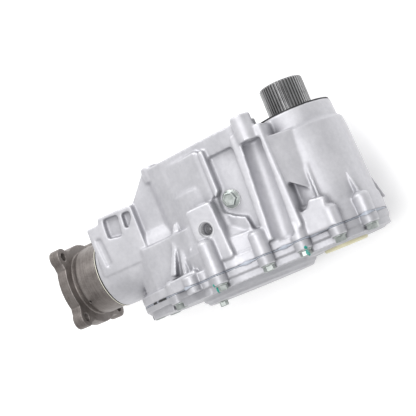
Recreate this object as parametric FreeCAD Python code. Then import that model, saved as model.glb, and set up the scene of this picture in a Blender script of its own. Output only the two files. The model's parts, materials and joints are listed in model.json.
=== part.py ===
"""Power transfer case for a transverse drivetrain, in millimetres.

A hollow splined shaft takes drive from the transaxle. A helical pair carries it across to a transfer
shaft, and a bevel ring gear and pinion turn it through a right angle to a four-eared output flange.

Frame: the input axis is Y, with the spline towards +Y. The case and its cover meet at Y = 0. The output
axis runs along X, with the flange towards -X. Z is up: the side with the filler plug is on top.
"""
import FreeCAD
import Part
import math
import os

V = FreeCAD.Vector
X_AXIS, Y_AXIS, Z_AXIS = V(1, 0, 0), V(0, 1, 0), V(0, 0, 1)

# ---------------------------------------------------------------- gears
HELICAL_MODULE = 2.5
INPUT_TEETH = 40
DRIVEN_TEETH = 60
HELICAL_WIDTH = 24.0
HELIX_ANGLE = 12.0
HELICAL_GEAR_Y = 4.0      # lower face of both helical gears
BEVEL_MODULE = 3.4
RING_TEETH = 38
PINION_TEETH = 13
BEVEL_FACE = 22.0
HELICAL_PRESSURE_ANGLE = 20.0
BEVEL_PRESSURE_ANGLE = 25.0
BACKLASH = 0.6            # play across each mesh at the pitch circle
TOOTH_TIP_GAP = 0.8       # tip of one gear to root of the other

# ---------------------------------------------------------------- clearances
RUNNING_GAP = 0.3         # turning surface to standing surface
FACE_GAP = 1.5            # turning face to standing face
GEAR_ROOM_GAP = 2.0       # gear tips to the wall round them
SEALANT_THICKNESS = 0.8
SHAFT_END_GAP = 1.0       # shaft ends to the floors of their seats
WALL = 6.0

# ---------------------------------------------------------------- where the axes and main faces lie
PINION_AXIS_Y = 62.0
SHAFT_CENTRES = HELICAL_MODULE * (INPUT_TEETH + DRIVEN_TEETH) / 2
RING_X = -SHAFT_CENTRES
NOSE_END_X = -316.0       # end of the pinion nose
MATING_FACE_Y = 166.0     # tops of the ears that bolt to the transaxle
BODY_TOP_Y = 161.0
NECK_TOP_Y = 151.5
BRACKET_FACE_Z = -107.0   # flat ends of the four bracket bosses underneath

# ---------------------------------------------------------------- input shaft
SPLINE_MODULE = 1.25
SPLINE_TEETH = 44
SPLINE_START_Y = 156.0
SPLINE_END_Y = 193.4
INPUT_JOURNAL_R = 30.0
INPUT_GEAR_SEAT_R = 34.0
INPUT_SHOULDER_R = 38.0
INPUT_SHOULDER_WIDTH = 5.0
INPUT_TUBE_R = 34.0
INPUT_BORE_R = 18.0
INPUT_BEARING_R = 42.5
INPUT_BEARING_WIDTH = 17.0
INPUT_UPPER_BEARING_Y = 117.0   # inner end of the upper bearing
INPUT_SEAL_R = 45.0
INPUT_SEAL_WIDTH = 9.0

# ---------------------------------------------------------------- transfer shaft
TRANSFER_JOURNAL_R = 20.0
TRANSFER_GEAR_SEAT_R = 24.0
TRANSFER_BODY_R = 26.0
TRANSFER_BEARING_R = 34.0
TRANSFER_BEARING_WIDTH = 19.0
TRANSFER_UPPER_BEARING_Y = 112.0
RING_SEAT_R = 34.0
RING_BACK_THICKNESS = 12.0      # ring gear from its root line to its back
RING_FLANGE_R = 58.0
RING_FLANGE_THICKNESS = 7.0
RING_BOLTS = 10
RING_BOLT_CIRCLE_R = 48.0
RING_BOLT_R = 4.0

# ---------------------------------------------------------------- pinion shaft and output flange
HEAD_JOURNAL_R = 20.0
HEAD_BEARING_R = 40.0
HEAD_BEARING_WIDTH = 20.0
HEAD_BEARING_X = -209.5         # face of the pinion collar that the head bearing leans on
PINION_COLLAR_R = 24.0
TAIL_JOURNAL_R = 17.5
TAIL_BEARING_R = 36.0
TAIL_BEARING_WIDTH = 18.0
TAIL_BEARING_X = -300.0         # end of the flange sleeve
FLANGE_SPLINE_R = 16.0
PINION_THREAD_R = 12.0
PINION_SEAL_R = 40.0
PINION_SEAL_WIDTH = 10.0
FLANGE_SLEEVE_R = 26.0
FLANGE_DRUM_R = 46.5
FLANGE_RIM_R = 56.0
FLANGE_THICKNESS = 15.0
FLANGE_BACK_X = -359.0          # face of the ears towards the case
FLANGE_DISH_R = 37.0
FLANGE_DISH_DEPTH = 34.0
FLANGE_PCD = 122.0
FLANGE_EARS = 4
FLANGE_EAR_R = 12.5
FLANGE_HOLE_R = 5.5
WASHER_THICKNESS = 3.0
NUT_ACROSS_FLATS = 36.0
NUT_HEIGHT = 13.0

# ---------------------------------------------------------------- case
NECK_R = 50.0
SHOULDER_Y = 126.0              # where the input housing steps in to its neck
SHOULDER_R = 56.0
INPUT_WALL = 5.5                # wall round the input gear
CASE_FLANGE_HEIGHT = 13.0
FLANGE_LIP = 3.0                # flanges proud of the walls they carry
NOSE_R = 48.5
NOSE_BLOCK_HALF = 50.0
BELL_END_X = -265.0
BELL_TOP_Y = 70.0
EAR_R = 13.0
EAR_HOLE_R = 5.5
EAR_HEIGHT = 20.0
NEAR_EAR_HEIGHT = 33.0
COLLAR_HEIGHT = 22.0            # tall rim round the input end of the case flange
NEAR_EAR = (-36.0, 80.0)        # (x, z) of the ear beside the neck
FAR_EAR = (-195.0, 34.0)
# Spanner channel below the near ear, as (x, y, z, radius) at its top and its foot.
# It widens as a drafted core does.
CHANNEL_TOP = (-33.0, 133.0, 80.0, 13.0)
CHANNEL_FOOT = (-40.0, 8.0, 84.0, 14.5)
BRACKET_SPACING_X = 110.0
BRACKET_SPACING_Y = 104.0
BRACKET_BOSS_R = 13.0
BRACKET_HOLE_R = 4.25
BRACKET_HOLE_DEPTH = 22.0
BRACKET_LOW_Y = 24.0

# ---------------------------------------------------------------- cover
COVER_FLANGE = 9.5              # underside of the cover flange, below the joint
COVER_BOSS_FACE = 12.5          # faces of the bolt bosses on the cover, below the joint
COVER_BAND = 19.5               # thick band inside the cover flange, notched for the bolt heads
HUB_DEPTH = 22.0
HUB_R = 59.0
DOME_DEPTH = 30.5
DOME_R = 76.0
COVER_FLOOR = 6.5
COVER_SEAT_WALL = 5.0           # wall around the transfer bearing's seat
COVER_RIBS = 8                  # ribs between that seat and the dome's wall
COVER_RIB_HEIGHT = 9.0
COVER_RIB_WIDTH = 4.0
CAP_R = 28.3
CAP_THICKNESS = 3.5
HALFSHAFT_SEAL_R = 27.0
HALFSHAFT_BORE_R = 18.5

# ---------------------------------------------------------------- fasteners
BOLT_R = 4.0
BOLT_HOLE_R = 4.5
BOLT_GRIP = 26.0                # length under the head
BOLT_HEAD_FLATS = 13.0
BOLT_HEAD_HEIGHT = 6.5
BOLT_FLANGE_R = 8.8
BOLT_FLANGE_HEIGHT = 1.6
BOLT_NOTCH_GAP = 1.5            # room around a bolt's flange in the cover's band
BOLT_BOSS_R = 10.5
# Cover bolts as (x, z, height of the boss on the case), from the left end round to the right.
UPPER_BOLTS = [
    (-268.0, 22.0, 18.0),
    (-212.0, 62.0, 18.0),
    (-135.0, 93.5, 45.0),
    (-71.5, 86.0, 32.0),
    (-25.0, 75.5, 26.0),
    (18.8, 66.0, 27.0),
    (53.5, 41.5, 27.0),
]
LOWER_BOLTS = [
    (-268.0, -22.0, 18.0),
    (-212.0, -62.0, 18.0),
    (-135.0, -93.5, 30.0),
    (-71.5, -86.0, 32.0),
    (-25.0, -75.5, 26.0),
    (28.0, -62.5, 22.0),
]
DOWEL_R = 4.0
DOWEL_LENGTH = 14.0
DOWEL_BOSS_R = 9.6              # metal around each dowel in the joint's outline
DOWELS = [(-176.0, 84.0), (-176.0, -84.0)]
FILLER_R = 8.0
FILLER_REACH = 9.0
DRAIN_R = 5.0
DRAIN_REACH = 8.0
DRAIN_RECESS = 3.0              # the drain plug sits this far up in the dome
PLUG_FLANGE_LIP = 3.5           # plug flanges and washers beyond their threads
PLUG_FLANGE_HEIGHT = 2.5
PLUG_HEAD_HEIGHT = 6.0
PLUG_WASHER_THICKNESS = 1.5
PLUG_GAP = 2.5                  # room around the drain plug's flange in its recess
FILLER_X, FILLER_Y = -90.5, 79.5
FILLER_FACE_Z = 68.0
DRAIN_X, DRAIN_Z = -164.0, 44.0
SENSOR_HOLE_R = 8.8
SENSOR_HOLE_DEPTH = 14.0
SENSOR_X, SENSOR_Y = -128.0, 56.0
PAD_FACE_Z = 91.0


# ================================================================ shapes that the pieces are made of
def cylinder_y(radius, y0, y1, x=0.0, z=0.0):
    return Part.makeCylinder(radius, y1 - y0, V(x, y0, z), Y_AXIS)


def cylinder_z(radius, z0, z1, x, y):
    return Part.makeCylinder(radius, z1 - z0, V(x, y, z0), Z_AXIS)


def cylinder_x(radius, x0, x1, y=PINION_AXIS_Y, z=0.0):
    return Part.makeCylinder(radius, x1 - x0, V(x0, y, z), X_AXIS)


def turned_y(profile, x=0.0, z=0.0):
    """A turned piece about an axis along Y, from (radius, y) points."""
    points = [V(x + r, y, z) for r, y in profile]
    face = Part.Face(Part.makePolygon(points + points[:1]))
    return face.revolve(V(x, 0, z), Y_AXIS, 360)


def turned_x(profile, y=PINION_AXIS_Y, z=0.0):
    """A turned piece about an axis along X, from (x, radius) points."""
    points = [V(px, y + r, z) for px, r in profile]
    face = Part.Face(Part.makePolygon(points + points[:1]))
    return face.revolve(V(0, y, z), X_AXIS, 360)


def rounded_wire(points, radius):
    """A closed polygon whose corners are arcs of the radius, or less where the sides are short."""
    edges = []
    count = len(points)
    stops = []
    for i, corner in enumerate(points):
        to_before = points[i - 1] - corner
        to_after = points[(i + 1) % count] - corner
        room = 0.45 * min(to_before.Length, to_after.Length)
        to_before.normalize()
        to_after.normalize()
        half = to_before.getAngle(to_after) / 2
        reach = min(radius / math.tan(half), room)
        bend = reach * math.tan(half)
        inward = (to_before + to_after).normalize()
        middle = corner + inward * (bend / math.sin(half) - bend)
        stops.append((corner + to_before * reach, middle, corner + to_after * reach))
    for i, (start, middle, end) in enumerate(stops):
        edges.append(Part.Arc(start, middle, end).toShape())
        edges.append(Part.LineSegment(end, stops[(i + 1) % count][0]).toShape())
    return Part.Wire(edges)


def plan_prism(points, y0, y1, radius=6.0):
    """An outline of (x, z) points, extruded from y0 to y1."""
    wire = rounded_wire([V(x, y0, z) for x, z in points], radius)
    return Part.Face(wire).extrude(V(0, y1 - y0, 0))


def side_prism(points, z0, z1, radius=6.0):
    """An outline of (x, y) points, extruded from z0 to z1."""
    wire = rounded_wire([V(x, y, z0) for x, y in points], radius)
    return Part.Face(wire).extrude(V(0, 0, z1 - z0))


def mirrored(points):
    """Half an outline of (x, z) points with z above 0, closed by its mirror image."""
    return points + [(x, -z) for x, z in reversed(points)]


def belt_prism(r_input, r_ring, y0, y1):
    """The outline of a belt round the input axis and the transfer axis, extruded from y0 to y1."""
    lean = math.asin((r_ring - r_input) / SHAFT_CENTRES)
    sx, sz = math.sin(lean), math.cos(lean)
    a0, a1 = V(r_input * sx, y0, r_input * sz), V(RING_X + r_ring * sx, y0, r_ring * sz)
    b0, b1 = V(a0.x, y0, -a0.z), V(a1.x, y0, -a1.z)
    edges = [
        Part.LineSegment(a0, a1).toShape(),
        Part.Arc(a1, V(RING_X - r_ring, y0, 0), b1).toShape(),
        Part.LineSegment(b1, b0).toShape(),
        Part.Arc(b0, V(r_input, y0, 0), a0).toShape(),
    ]
    return Part.Face(Part.Wire(edges)).extrude(V(0, y1 - y0, 0))


def hexagon(across_flats, height, base, axis):
    """A hexagonal prism standing on the point base, along axis."""
    side = Y_AXIS if abs(axis.dot(Y_AXIS)) < 0.5 else X_AXIS
    other = axis.cross(side)
    corner = across_flats / 2 / math.cos(math.pi / 6)
    points = []
    for k in range(6):
        angle = k * math.pi / 3
        points.append(base + side * (corner * math.cos(angle)) + other * (corner * math.sin(angle)))
    return Part.Face(Part.makePolygon(points + points[:1])).extrude(axis * height)


def fuse(shapes):
    return shapes[0].multiFuse(shapes[1:])


def tube_y(outer, inner, y0, y1, x=0.0, z=0.0):
    return turned_y([(inner, y0), (outer, y0), (outer, y1), (inner, y1)], x, z)


def tube_x(outer, inner, x0, x1):
    return turned_x([(x0, inner), (x1, inner), (x1, outer), (x0, outer)])


def placed(shape, origin, axis):
    """A shape built about Z at the origin, moved so that its Z runs along axis from origin."""
    return shape.transformed(FreeCAD.Placement(origin, FreeCAD.Rotation(Z_AXIS, axis)).toMatrix())


# ================================================================ gear teeth
def involute(base_r, r):
    """Polar angle of an involute at radius r."""
    if r <= base_r:
        return 0.0
    a = math.acos(base_r / r)
    return math.tan(a) - a


def tooth_rows(module, teeth, pressure_angle):
    """Half of one tooth as (radius, half angle), from its root to its tip."""
    pitch_r = module * teeth / 2
    base_r = pitch_r * math.cos(math.radians(pressure_angle))
    half_at_pitch = math.pi / 2 / teeth - BACKLASH / 4 / pitch_r
    rows = []
    for r in (pitch_r - module - TOOTH_TIP_GAP, pitch_r - module / 2, pitch_r, pitch_r + module):
        rows.append((r, half_at_pitch + involute(base_r, pitch_r) - involute(base_r, r)))
    return rows


def helical_gear(module, teeth, y0, width, phase, hand, bore_r):
    """A helical gear about the Y axis, with a tooth centred at the phase angle halfway up.

    Hand is 1 or -1.
    """
    rows = tooth_rows(module, teeth, HELICAL_PRESSURE_ANGLE)
    twist = hand * width * math.tan(math.radians(HELIX_ANGLE)) / (module * teeth / 2)
    outlines = []
    for y, turn in ((y0, -twist / 2), (y0 + width, twist / 2)):
        points = []
        for k in range(teeth):
            centre = phase + turn + 2 * math.pi * k / teeth
            flank = [(r, centre - half) for r, half in rows]
            flank += [(r, centre + half) for r, half in reversed(rows)]
            points += [V(r * math.cos(a), y, r * math.sin(a)) for r, a in flank]
        outlines.append(Part.makePolygon(points + points[:1]))
    blank = Part.makeLoft(outlines, True, True)
    return blank.cut(cylinder_y(bore_r, y0 - 1, y0 + width + 1))


class BevelGear:
    """A straight bevel gear about Z, with the cones' apex at the origin and the large end towards +Z."""

    def __init__(self, teeth, mate_teeth):
        self.teeth = teeth
        self.cone = math.atan2(teeth, mate_teeth)
        self.pitch_r = BEVEL_MODULE * teeth / 2
        self.pitch_z = self.pitch_r / math.tan(self.cone)
        length = self.pitch_r / math.sin(self.cone)
        self.small_end = (length - BEVEL_FACE) / length

    def at(self, depth, scale=1.0):
        """The (radius, z) point on the large end's back cone, depth below the pitch line."""
        r = self.pitch_r - depth * math.cos(self.cone)
        z = self.pitch_z + depth * math.sin(self.cone)
        return scale * r, scale * z

    def teeth_solid(self, phase, z0, z1):
        """The toothed pyramid from z0 to z1, whose sides all run to the apex."""
        virtual_r = self.pitch_r / math.cos(self.cone)
        base_r = virtual_r * math.cos(math.radians(BEVEL_PRESSURE_ANGLE))
        half_at_pitch = (BEVEL_MODULE * math.pi / 4 - BACKLASH / 4) / virtual_r
        rows = []
        for depth in (BEVEL_MODULE + TOOTH_TIP_GAP, BEVEL_MODULE / 2, 0.0, -BEVEL_MODULE):
            rho = virtual_r - depth
            half = half_at_pitch + involute(base_r, virtual_r) - involute(base_r, rho)
            r, z = self.at(depth)
            rows.append((r / z, half * rho / r))
        outlines = []
        for plane in (z0, z1):
            points = []
            for k in range(self.teeth):
                centre = phase + 2 * math.pi * k / self.teeth
                flank = [(s, centre - half) for s, half in rows]
                flank += [(s, centre + half) for s, half in reversed(rows)]
                points += [V(s * plane * math.cos(a), s * plane * math.sin(a), plane) for s, a in flank]
            outlines.append(Part.makePolygon(points + points[:1]))
        return Part.makeLoft(outlines, True, True)


def turned_z(profile):
    """A turned piece about the Z axis, from (radius, z) points."""
    points = [V(r, 0, z) for r, z in profile]
    face = Part.Face(Part.makePolygon(points + points[:1]))
    return face.revolve(V(0, 0, 0), Z_AXIS, 360)


RING = BevelGear(RING_TEETH, PINION_TEETH)
PINION = BevelGear(PINION_TEETH, RING_TEETH)
GEAR_TOP_Y = HELICAL_GEAR_Y + HELICAL_WIDTH
INPUT_GEAR_R = HELICAL_MODULE * (INPUT_TEETH / 2 + 1)
DRIVEN_GEAR_R = HELICAL_MODULE * (DRIVEN_TEETH / 2 + 1)
RING_TIP_R = RING.at(-BEVEL_MODULE)[0]
RING_ROOT_Y = PINION_AXIS_Y + RING.at(BEVEL_MODULE + TOOTH_TIP_GAP)[1]
RING_BACK_Y = RING_ROOT_Y + RING_BACK_THICKNESS
RING_FLANGE_Y = RING_BACK_Y + RING_FLANGE_THICKNESS


# ================================================================ bearings
RACE_ANGLE = 12.0


def tapered_bearing(bore_r, outer_r, width):
    """Cup, cone and caged rollers about Z, from the cup's back at 0 to the cone's back at the width."""
    mean_r = (bore_r + outer_r) / 2
    roller_r = 0.2 * (outer_r - bore_r)
    slope = math.tan(math.radians(RACE_ANGLE))

    def race(offset, z):
        return mean_r + offset + (z - width / 2) * slope

    cup_end = 0.85 * width
    cup_offset = roller_r + RUNNING_GAP
    cup = turned_z([(race(cup_offset, 0), 0), (outer_r, 0), (outer_r, cup_end),
                    (race(cup_offset, cup_end), cup_end)])
    front, low, high = 0.05 * width, 0.15 * width, 0.85 * width
    rib = 0.45 * roller_r
    cone_offset = -roller_r - RUNNING_GAP / 3
    cone = turned_z([
        (bore_r, front), (race(cone_offset, front) + rib, front), (race(cone_offset, low) + rib, low),
        (race(cone_offset, low), low), (race(cone_offset, high), high),
        (race(cone_offset, high) + rib, high),
        (race(cone_offset, width) + rib, width), (bore_r, width)])
    cage_low, cage_high, half = 0.12 * width, 0.88 * width, 0.3 * roller_r
    pieces = [turned_z([(race(-half, cage_low), cage_low), (race(half, cage_low), cage_low),
                        (race(half, cage_high), cage_high), (race(-half, cage_high), cage_high)])]
    length = 0.62 * width
    tilt = math.radians(RACE_ANGLE)
    along = V(math.sin(tilt), 0, math.cos(tilt))
    start = V(mean_r, 0, width / 2) - along * (length / 2)
    roller = Part.makeCylinder(roller_r, length, start, along)
    count = int(2 * math.pi * mean_r / (3.2 * roller_r))
    for k in range(count):
        pieces.append(roller.rotated(V(0, 0, 0), Z_AXIS, 360.0 * k / count))
    return {"cup": cup, "cone": cone, "cage": fuse(pieces)}


# ================================================================ input shaft group
# inner end of the lower bearing, at the gear seat's shoulder
INPUT_LOWER_BEARING_Y = HELICAL_GEAR_Y - 2.0
INPUT_LOWER_END_Y = INPUT_LOWER_BEARING_Y - INPUT_BEARING_WIDTH    # back of the lower bearing's cup


def spline_outline(y):
    pitch_r = SPLINE_MODULE * SPLINE_TEETH / 2
    step = 2 * math.pi / SPLINE_TEETH
    points = []
    for k in range(SPLINE_TEETH):
        for r, share in ((pitch_r - 0.75 * SPLINE_MODULE, -0.33), (pitch_r + 0.5 * SPLINE_MODULE, -0.16),
                         (pitch_r + 0.5 * SPLINE_MODULE, 0.16), (pitch_r - 0.75 * SPLINE_MODULE, 0.33)):
            angle = (k + share) * step
            points.append(V(r * math.cos(angle), y, r * math.sin(angle)))
    return Part.makePolygon(points + points[:1])


def input_shaft():
    spline_r = SPLINE_MODULE * (SPLINE_TEETH + 1) / 2
    shoulder_y = GEAR_TOP_Y + INPUT_SHOULDER_WIDTH
    end = INPUT_LOWER_END_Y + SHAFT_END_GAP
    body = turned_y([
        (0, end), (INPUT_JOURNAL_R - 1, end), (INPUT_JOURNAL_R, end + 1),
        (INPUT_JOURNAL_R, INPUT_LOWER_BEARING_Y), (INPUT_GEAR_SEAT_R, INPUT_LOWER_BEARING_Y),
        (INPUT_GEAR_SEAT_R, GEAR_TOP_Y), (INPUT_SHOULDER_R, GEAR_TOP_Y), (INPUT_SHOULDER_R, shoulder_y),
        (INPUT_TUBE_R, shoulder_y + 4), (INPUT_TUBE_R, INPUT_UPPER_BEARING_Y),
        (INPUT_JOURNAL_R, INPUT_UPPER_BEARING_Y), (INPUT_JOURNAL_R, SPLINE_START_Y - 4),
        (spline_r - 2.5, SPLINE_START_Y - 4), (spline_r - 2.5, SPLINE_START_Y), (0, SPLINE_START_Y)])
    spline = Part.Face(spline_outline(SPLINE_START_Y)).extrude(V(0, SPLINE_END_Y - SPLINE_START_Y, 0))
    lead = turned_y([(0, SPLINE_START_Y), (spline_r + 1, SPLINE_START_Y), (spline_r + 1, SPLINE_END_Y - 3),
                     (spline_r - 2, SPLINE_END_Y), (0, SPLINE_END_Y)])
    shaft = body.fuse(spline.common(lead))
    bore = turned_y([(0, end - 1), (INPUT_BORE_R + 2, end - 1), (INPUT_BORE_R + 2, end),
                     (INPUT_BORE_R, end + 2),
                     (INPUT_BORE_R, SPLINE_END_Y - 2), (INPUT_BORE_R + 3, SPLINE_END_Y + 1),
                     (0, SPLINE_END_Y + 1)])
    return shaft.cut(bore)


def input_drive_gear():
    gear = helical_gear(HELICAL_MODULE, INPUT_TEETH, HELICAL_GEAR_Y, HELICAL_WIDTH, math.pi, 1,
                        INPUT_GEAR_SEAT_R)
    return gear


def input_seal():
    lip = INPUT_JOURNAL_R + RUNNING_GAP
    top = NECK_TOP_Y
    low = top - INPUT_SEAL_WIDTH
    return turned_y([
        (INPUT_SEAL_R, low), (INPUT_SEAL_R, top), (INPUT_SEAL_R + 3.8, top),
        (INPUT_SEAL_R + 3.8, top + 1.4),
        (lip + 4, top + 1.4), (lip, top - 1), (lip, top - 3), (lip + 3, low + 3),
        (INPUT_SEAL_R - 3, low + 3),
        (INPUT_SEAL_R - 3, low)])


def halfshaft_seal():
    top = INPUT_LOWER_END_Y - FACE_GAP
    return turned_y([
        (HALFSHAFT_SEAL_R, -HUB_DEPTH), (HALFSHAFT_SEAL_R, top), (HALFSHAFT_SEAL_R - 3, top),
        (HALFSHAFT_SEAL_R - 3, -HUB_DEPTH + 2), (HALFSHAFT_BORE_R + 1, -HUB_DEPTH + 3),
        (HALFSHAFT_BORE_R, -HUB_DEPTH + 1.5), (HALFSHAFT_BORE_R + 1.5, -HUB_DEPTH)])


def seal_cap():
    inner = HALFSHAFT_BORE_R
    return turned_y([
        (0, -HUB_DEPTH - CAP_THICKNESS), (CAP_R - 1, -HUB_DEPTH - CAP_THICKNESS),
        (CAP_R, -HUB_DEPTH - CAP_THICKNESS + 1),
        (CAP_R, -HUB_DEPTH), (inner, -HUB_DEPTH), (inner, INPUT_LOWER_END_Y - FACE_GAP),
        (inner - 2, INPUT_LOWER_END_Y - FACE_GAP),
        (inner - 2, -HUB_DEPTH), (0, -HUB_DEPTH)])


# ================================================================ transfer shaft group
# inner end of the lower bearing
TRANSFER_LOWER_BEARING_Y = -DOME_DEPTH + COVER_FLOOR + TRANSFER_BEARING_WIDTH


def transfer_shaft():
    low = TRANSFER_LOWER_BEARING_Y - TRANSFER_BEARING_WIDTH + SHAFT_END_GAP
    top = TRANSFER_UPPER_BEARING_Y + TRANSFER_BEARING_WIDTH
    shaft = turned_y([
        (0, low), (TRANSFER_JOURNAL_R - 1, low), (TRANSFER_JOURNAL_R, low + 1),
        (TRANSFER_JOURNAL_R, TRANSFER_LOWER_BEARING_Y), (TRANSFER_GEAR_SEAT_R, TRANSFER_LOWER_BEARING_Y),
        (TRANSFER_GEAR_SEAT_R, GEAR_TOP_Y), (TRANSFER_BODY_R + 2, GEAR_TOP_Y),
        (TRANSFER_BODY_R + 2, GEAR_TOP_Y + 6),
        (TRANSFER_BODY_R, GEAR_TOP_Y + 8), (TRANSFER_BODY_R, RING_ROOT_Y - 6), (RING_SEAT_R, RING_ROOT_Y),
        (RING_SEAT_R, RING_BACK_Y), (RING_FLANGE_R, RING_BACK_Y), (RING_FLANGE_R, RING_FLANGE_Y),
        (TRANSFER_BODY_R, RING_FLANGE_Y), (TRANSFER_BODY_R, TRANSFER_UPPER_BEARING_Y),
        (TRANSFER_JOURNAL_R, TRANSFER_UPPER_BEARING_Y), (TRANSFER_JOURNAL_R, top - 1),
        (TRANSFER_JOURNAL_R - 1, top), (0, top)], RING_X)
    holes = [cylinder_y(RING_BOLT_R, RING_BACK_Y - 1, RING_FLANGE_Y + 1, x, z)
             for x, z in ring_bolt_places()]
    return shaft.cut(holes)


def ring_bolt_places():
    places = []
    for k in range(RING_BOLTS):
        angle = 2 * math.pi * k / RING_BOLTS
        places.append((RING_X + RING_BOLT_CIRCLE_R * math.cos(angle), RING_BOLT_CIRCLE_R * math.sin(angle)))
    return places


def driven_gear():
    gear = helical_gear(HELICAL_MODULE, DRIVEN_TEETH, HELICAL_GEAR_Y, HELICAL_WIDTH,
                        math.pi / DRIVEN_TEETH, -1,
                        TRANSFER_GEAR_SEAT_R)
    rim_r = HELICAL_MODULE * DRIVEN_TEETH / 2 - HELICAL_MODULE - TOOTH_TIP_GAP - 6
    hub_r = TRANSFER_GEAR_SEAT_R + 9
    web = 10.0
    depth = (HELICAL_WIDTH - web) / 2
    gear = gear.cut([tube_y(rim_r, hub_r, HELICAL_GEAR_Y - 1, HELICAL_GEAR_Y + depth),
                     tube_y(rim_r, hub_r, GEAR_TOP_Y - depth, GEAR_TOP_Y + 1)])
    gear.translate(V(RING_X, 0, 0))
    return gear


def ring_gear():
    teeth = RING.teeth_solid(math.pi, RING.pitch_z / 4, RING.pitch_z * 2)
    deep = BEVEL_MODULE + TOOTH_TIP_GAP
    back = RING_BACK_Y - PINION_AXIS_Y
    small = RING.small_end
    blank = turned_z([
        RING.at(-BEVEL_MODULE - 1), RING.at(deep + 2), (RING.at(deep + 2)[0], back), (RING_SEAT_R, back),
        (RING_SEAT_R, RING.at(deep + 3, small)[1]), RING.at(deep + 3, small),
        RING.at(-BEVEL_MODULE - 1, small)])
    gear = placed(teeth.common(blank), V(RING_X, PINION_AXIS_Y, 0), Y_AXIS)
    holes = [cylinder_y(RING_BOLT_R, RING_BACK_Y - 9, RING_BACK_Y + 1, x, z) for x, z in ring_bolt_places()]
    return gear.cut(holes)


def ring_gear_bolts():
    bolts = []
    for x, z in ring_bolt_places():
        shank = cylinder_y(RING_BOLT_R, RING_BACK_Y - 8, RING_FLANGE_Y, x, z)
        bolts.append(shank.fuse(hexagon(BOLT_HEAD_FLATS, 5.0, V(x, RING_FLANGE_Y, z), Y_AXIS)))
    return Part.makeCompound(bolts)


# ================================================================ pinion group
HEAD_BACK_X = HEAD_BEARING_X - HEAD_BEARING_WIDTH      # back of the head bearing's cup
TAIL_FRONT_X = TAIL_BEARING_X + TAIL_BEARING_WIDTH     # back of the tail bearing's cup
DISH_FLOOR_X = FLANGE_BACK_X - FLANGE_THICKNESS + FLANGE_DISH_DEPTH
THREAD_END_X = DISH_FLOOR_X - WASHER_THICKNESS - NUT_HEIGHT - 3.0


def pinion_shaft():
    deep = BEVEL_MODULE + TOOTH_TIP_GAP + 1
    small = PINION.small_end
    teeth = PINION.teeth_solid(math.pi / 2 + math.pi / PINION_TEETH, PINION.pitch_z / 2,
                               PINION.pitch_z * 1.2)
    blank = turned_z([
        (0, PINION.at(deep, small)[1]), PINION.at(deep, small), PINION.at(-BEVEL_MODULE - 1, small),
        PINION.at(-BEVEL_MODULE - 1), PINION.at(deep), (0, PINION.at(deep)[1])])
    head = placed(teeth.common(blank), V(RING_X, PINION_AXIS_Y, 0), V(-1, 0, 0))
    neck_r = PINION.at(deep)[0]
    neck_x = RING_X - PINION.at(deep)[1] + 1
    collar_x = RING_X - RING_TIP_R - 2.0
    shank = turned_x([
        (neck_x, 0), (neck_x, neck_r - 1), (collar_x, neck_r), (collar_x, PINION_COLLAR_R),
        (HEAD_BEARING_X, PINION_COLLAR_R), (HEAD_BEARING_X, HEAD_JOURNAL_R),
        (HEAD_BACK_X - 1, HEAD_JOURNAL_R),
        (HEAD_BACK_X - 3, TAIL_JOURNAL_R), (TAIL_BEARING_X, TAIL_JOURNAL_R),
        (TAIL_BEARING_X, FLANGE_SPLINE_R),
        (DISH_FLOOR_X + 2, FLANGE_SPLINE_R), (DISH_FLOOR_X + 2, PINION_THREAD_R),
        (THREAD_END_X + 1.5, PINION_THREAD_R), (THREAD_END_X, PINION_THREAD_R - 1.5), (THREAD_END_X, 0)])
    return head.fuse(shank)


def collapsible_spacer():
    front, back = HEAD_BACK_X, TAIL_FRONT_X
    inner, outer, wall = HEAD_JOURNAL_R + 0.3, HEAD_JOURNAL_R + 3.0, 2.7
    middle = (front + back) / 2
    bulge = 4.0
    return turned_x([
        (back + 0.05 * -TAIL_BEARING_WIDTH, inner), (middle - 9, inner), (middle, inner + bulge),
        (middle + 9, inner),
        (front + 0.05 * HEAD_BEARING_WIDTH, inner), (front + 0.05 * HEAD_BEARING_WIDTH, outer),
        (middle + 9, outer),
        (middle, outer + bulge), (middle - 9, outer), (back - 0.05 * TAIL_BEARING_WIDTH, outer)])


def pinion_seal():
    lip = FLANGE_SLEEVE_R + RUNNING_GAP
    end = NOSE_END_X
    low = end + PINION_SEAL_WIDTH
    return turned_x([
        (low, PINION_SEAL_R), (end, PINION_SEAL_R), (end, NOSE_R - 1.2), (end - 1.0, NOSE_R - 1.2),
        (end - 1.0, lip + 5),
        (end + 2, lip), (end + 4, lip), (low - 3, lip + 4), (low - 3, PINION_SEAL_R - 3),
        (low, PINION_SEAL_R - 3)])


def nose_dust_ring():
    end = NOSE_END_X - 1.0
    return tube_x(NOSE_R - 0.4, FLANGE_SLEEVE_R + 8, end - 0.8, end)


def dust_deflector():
    start = NOSE_END_X - 2.3
    return tube_x(FLANGE_DRUM_R + 0.9, FLANGE_SLEEVE_R, start - 0.8, start)


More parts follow.
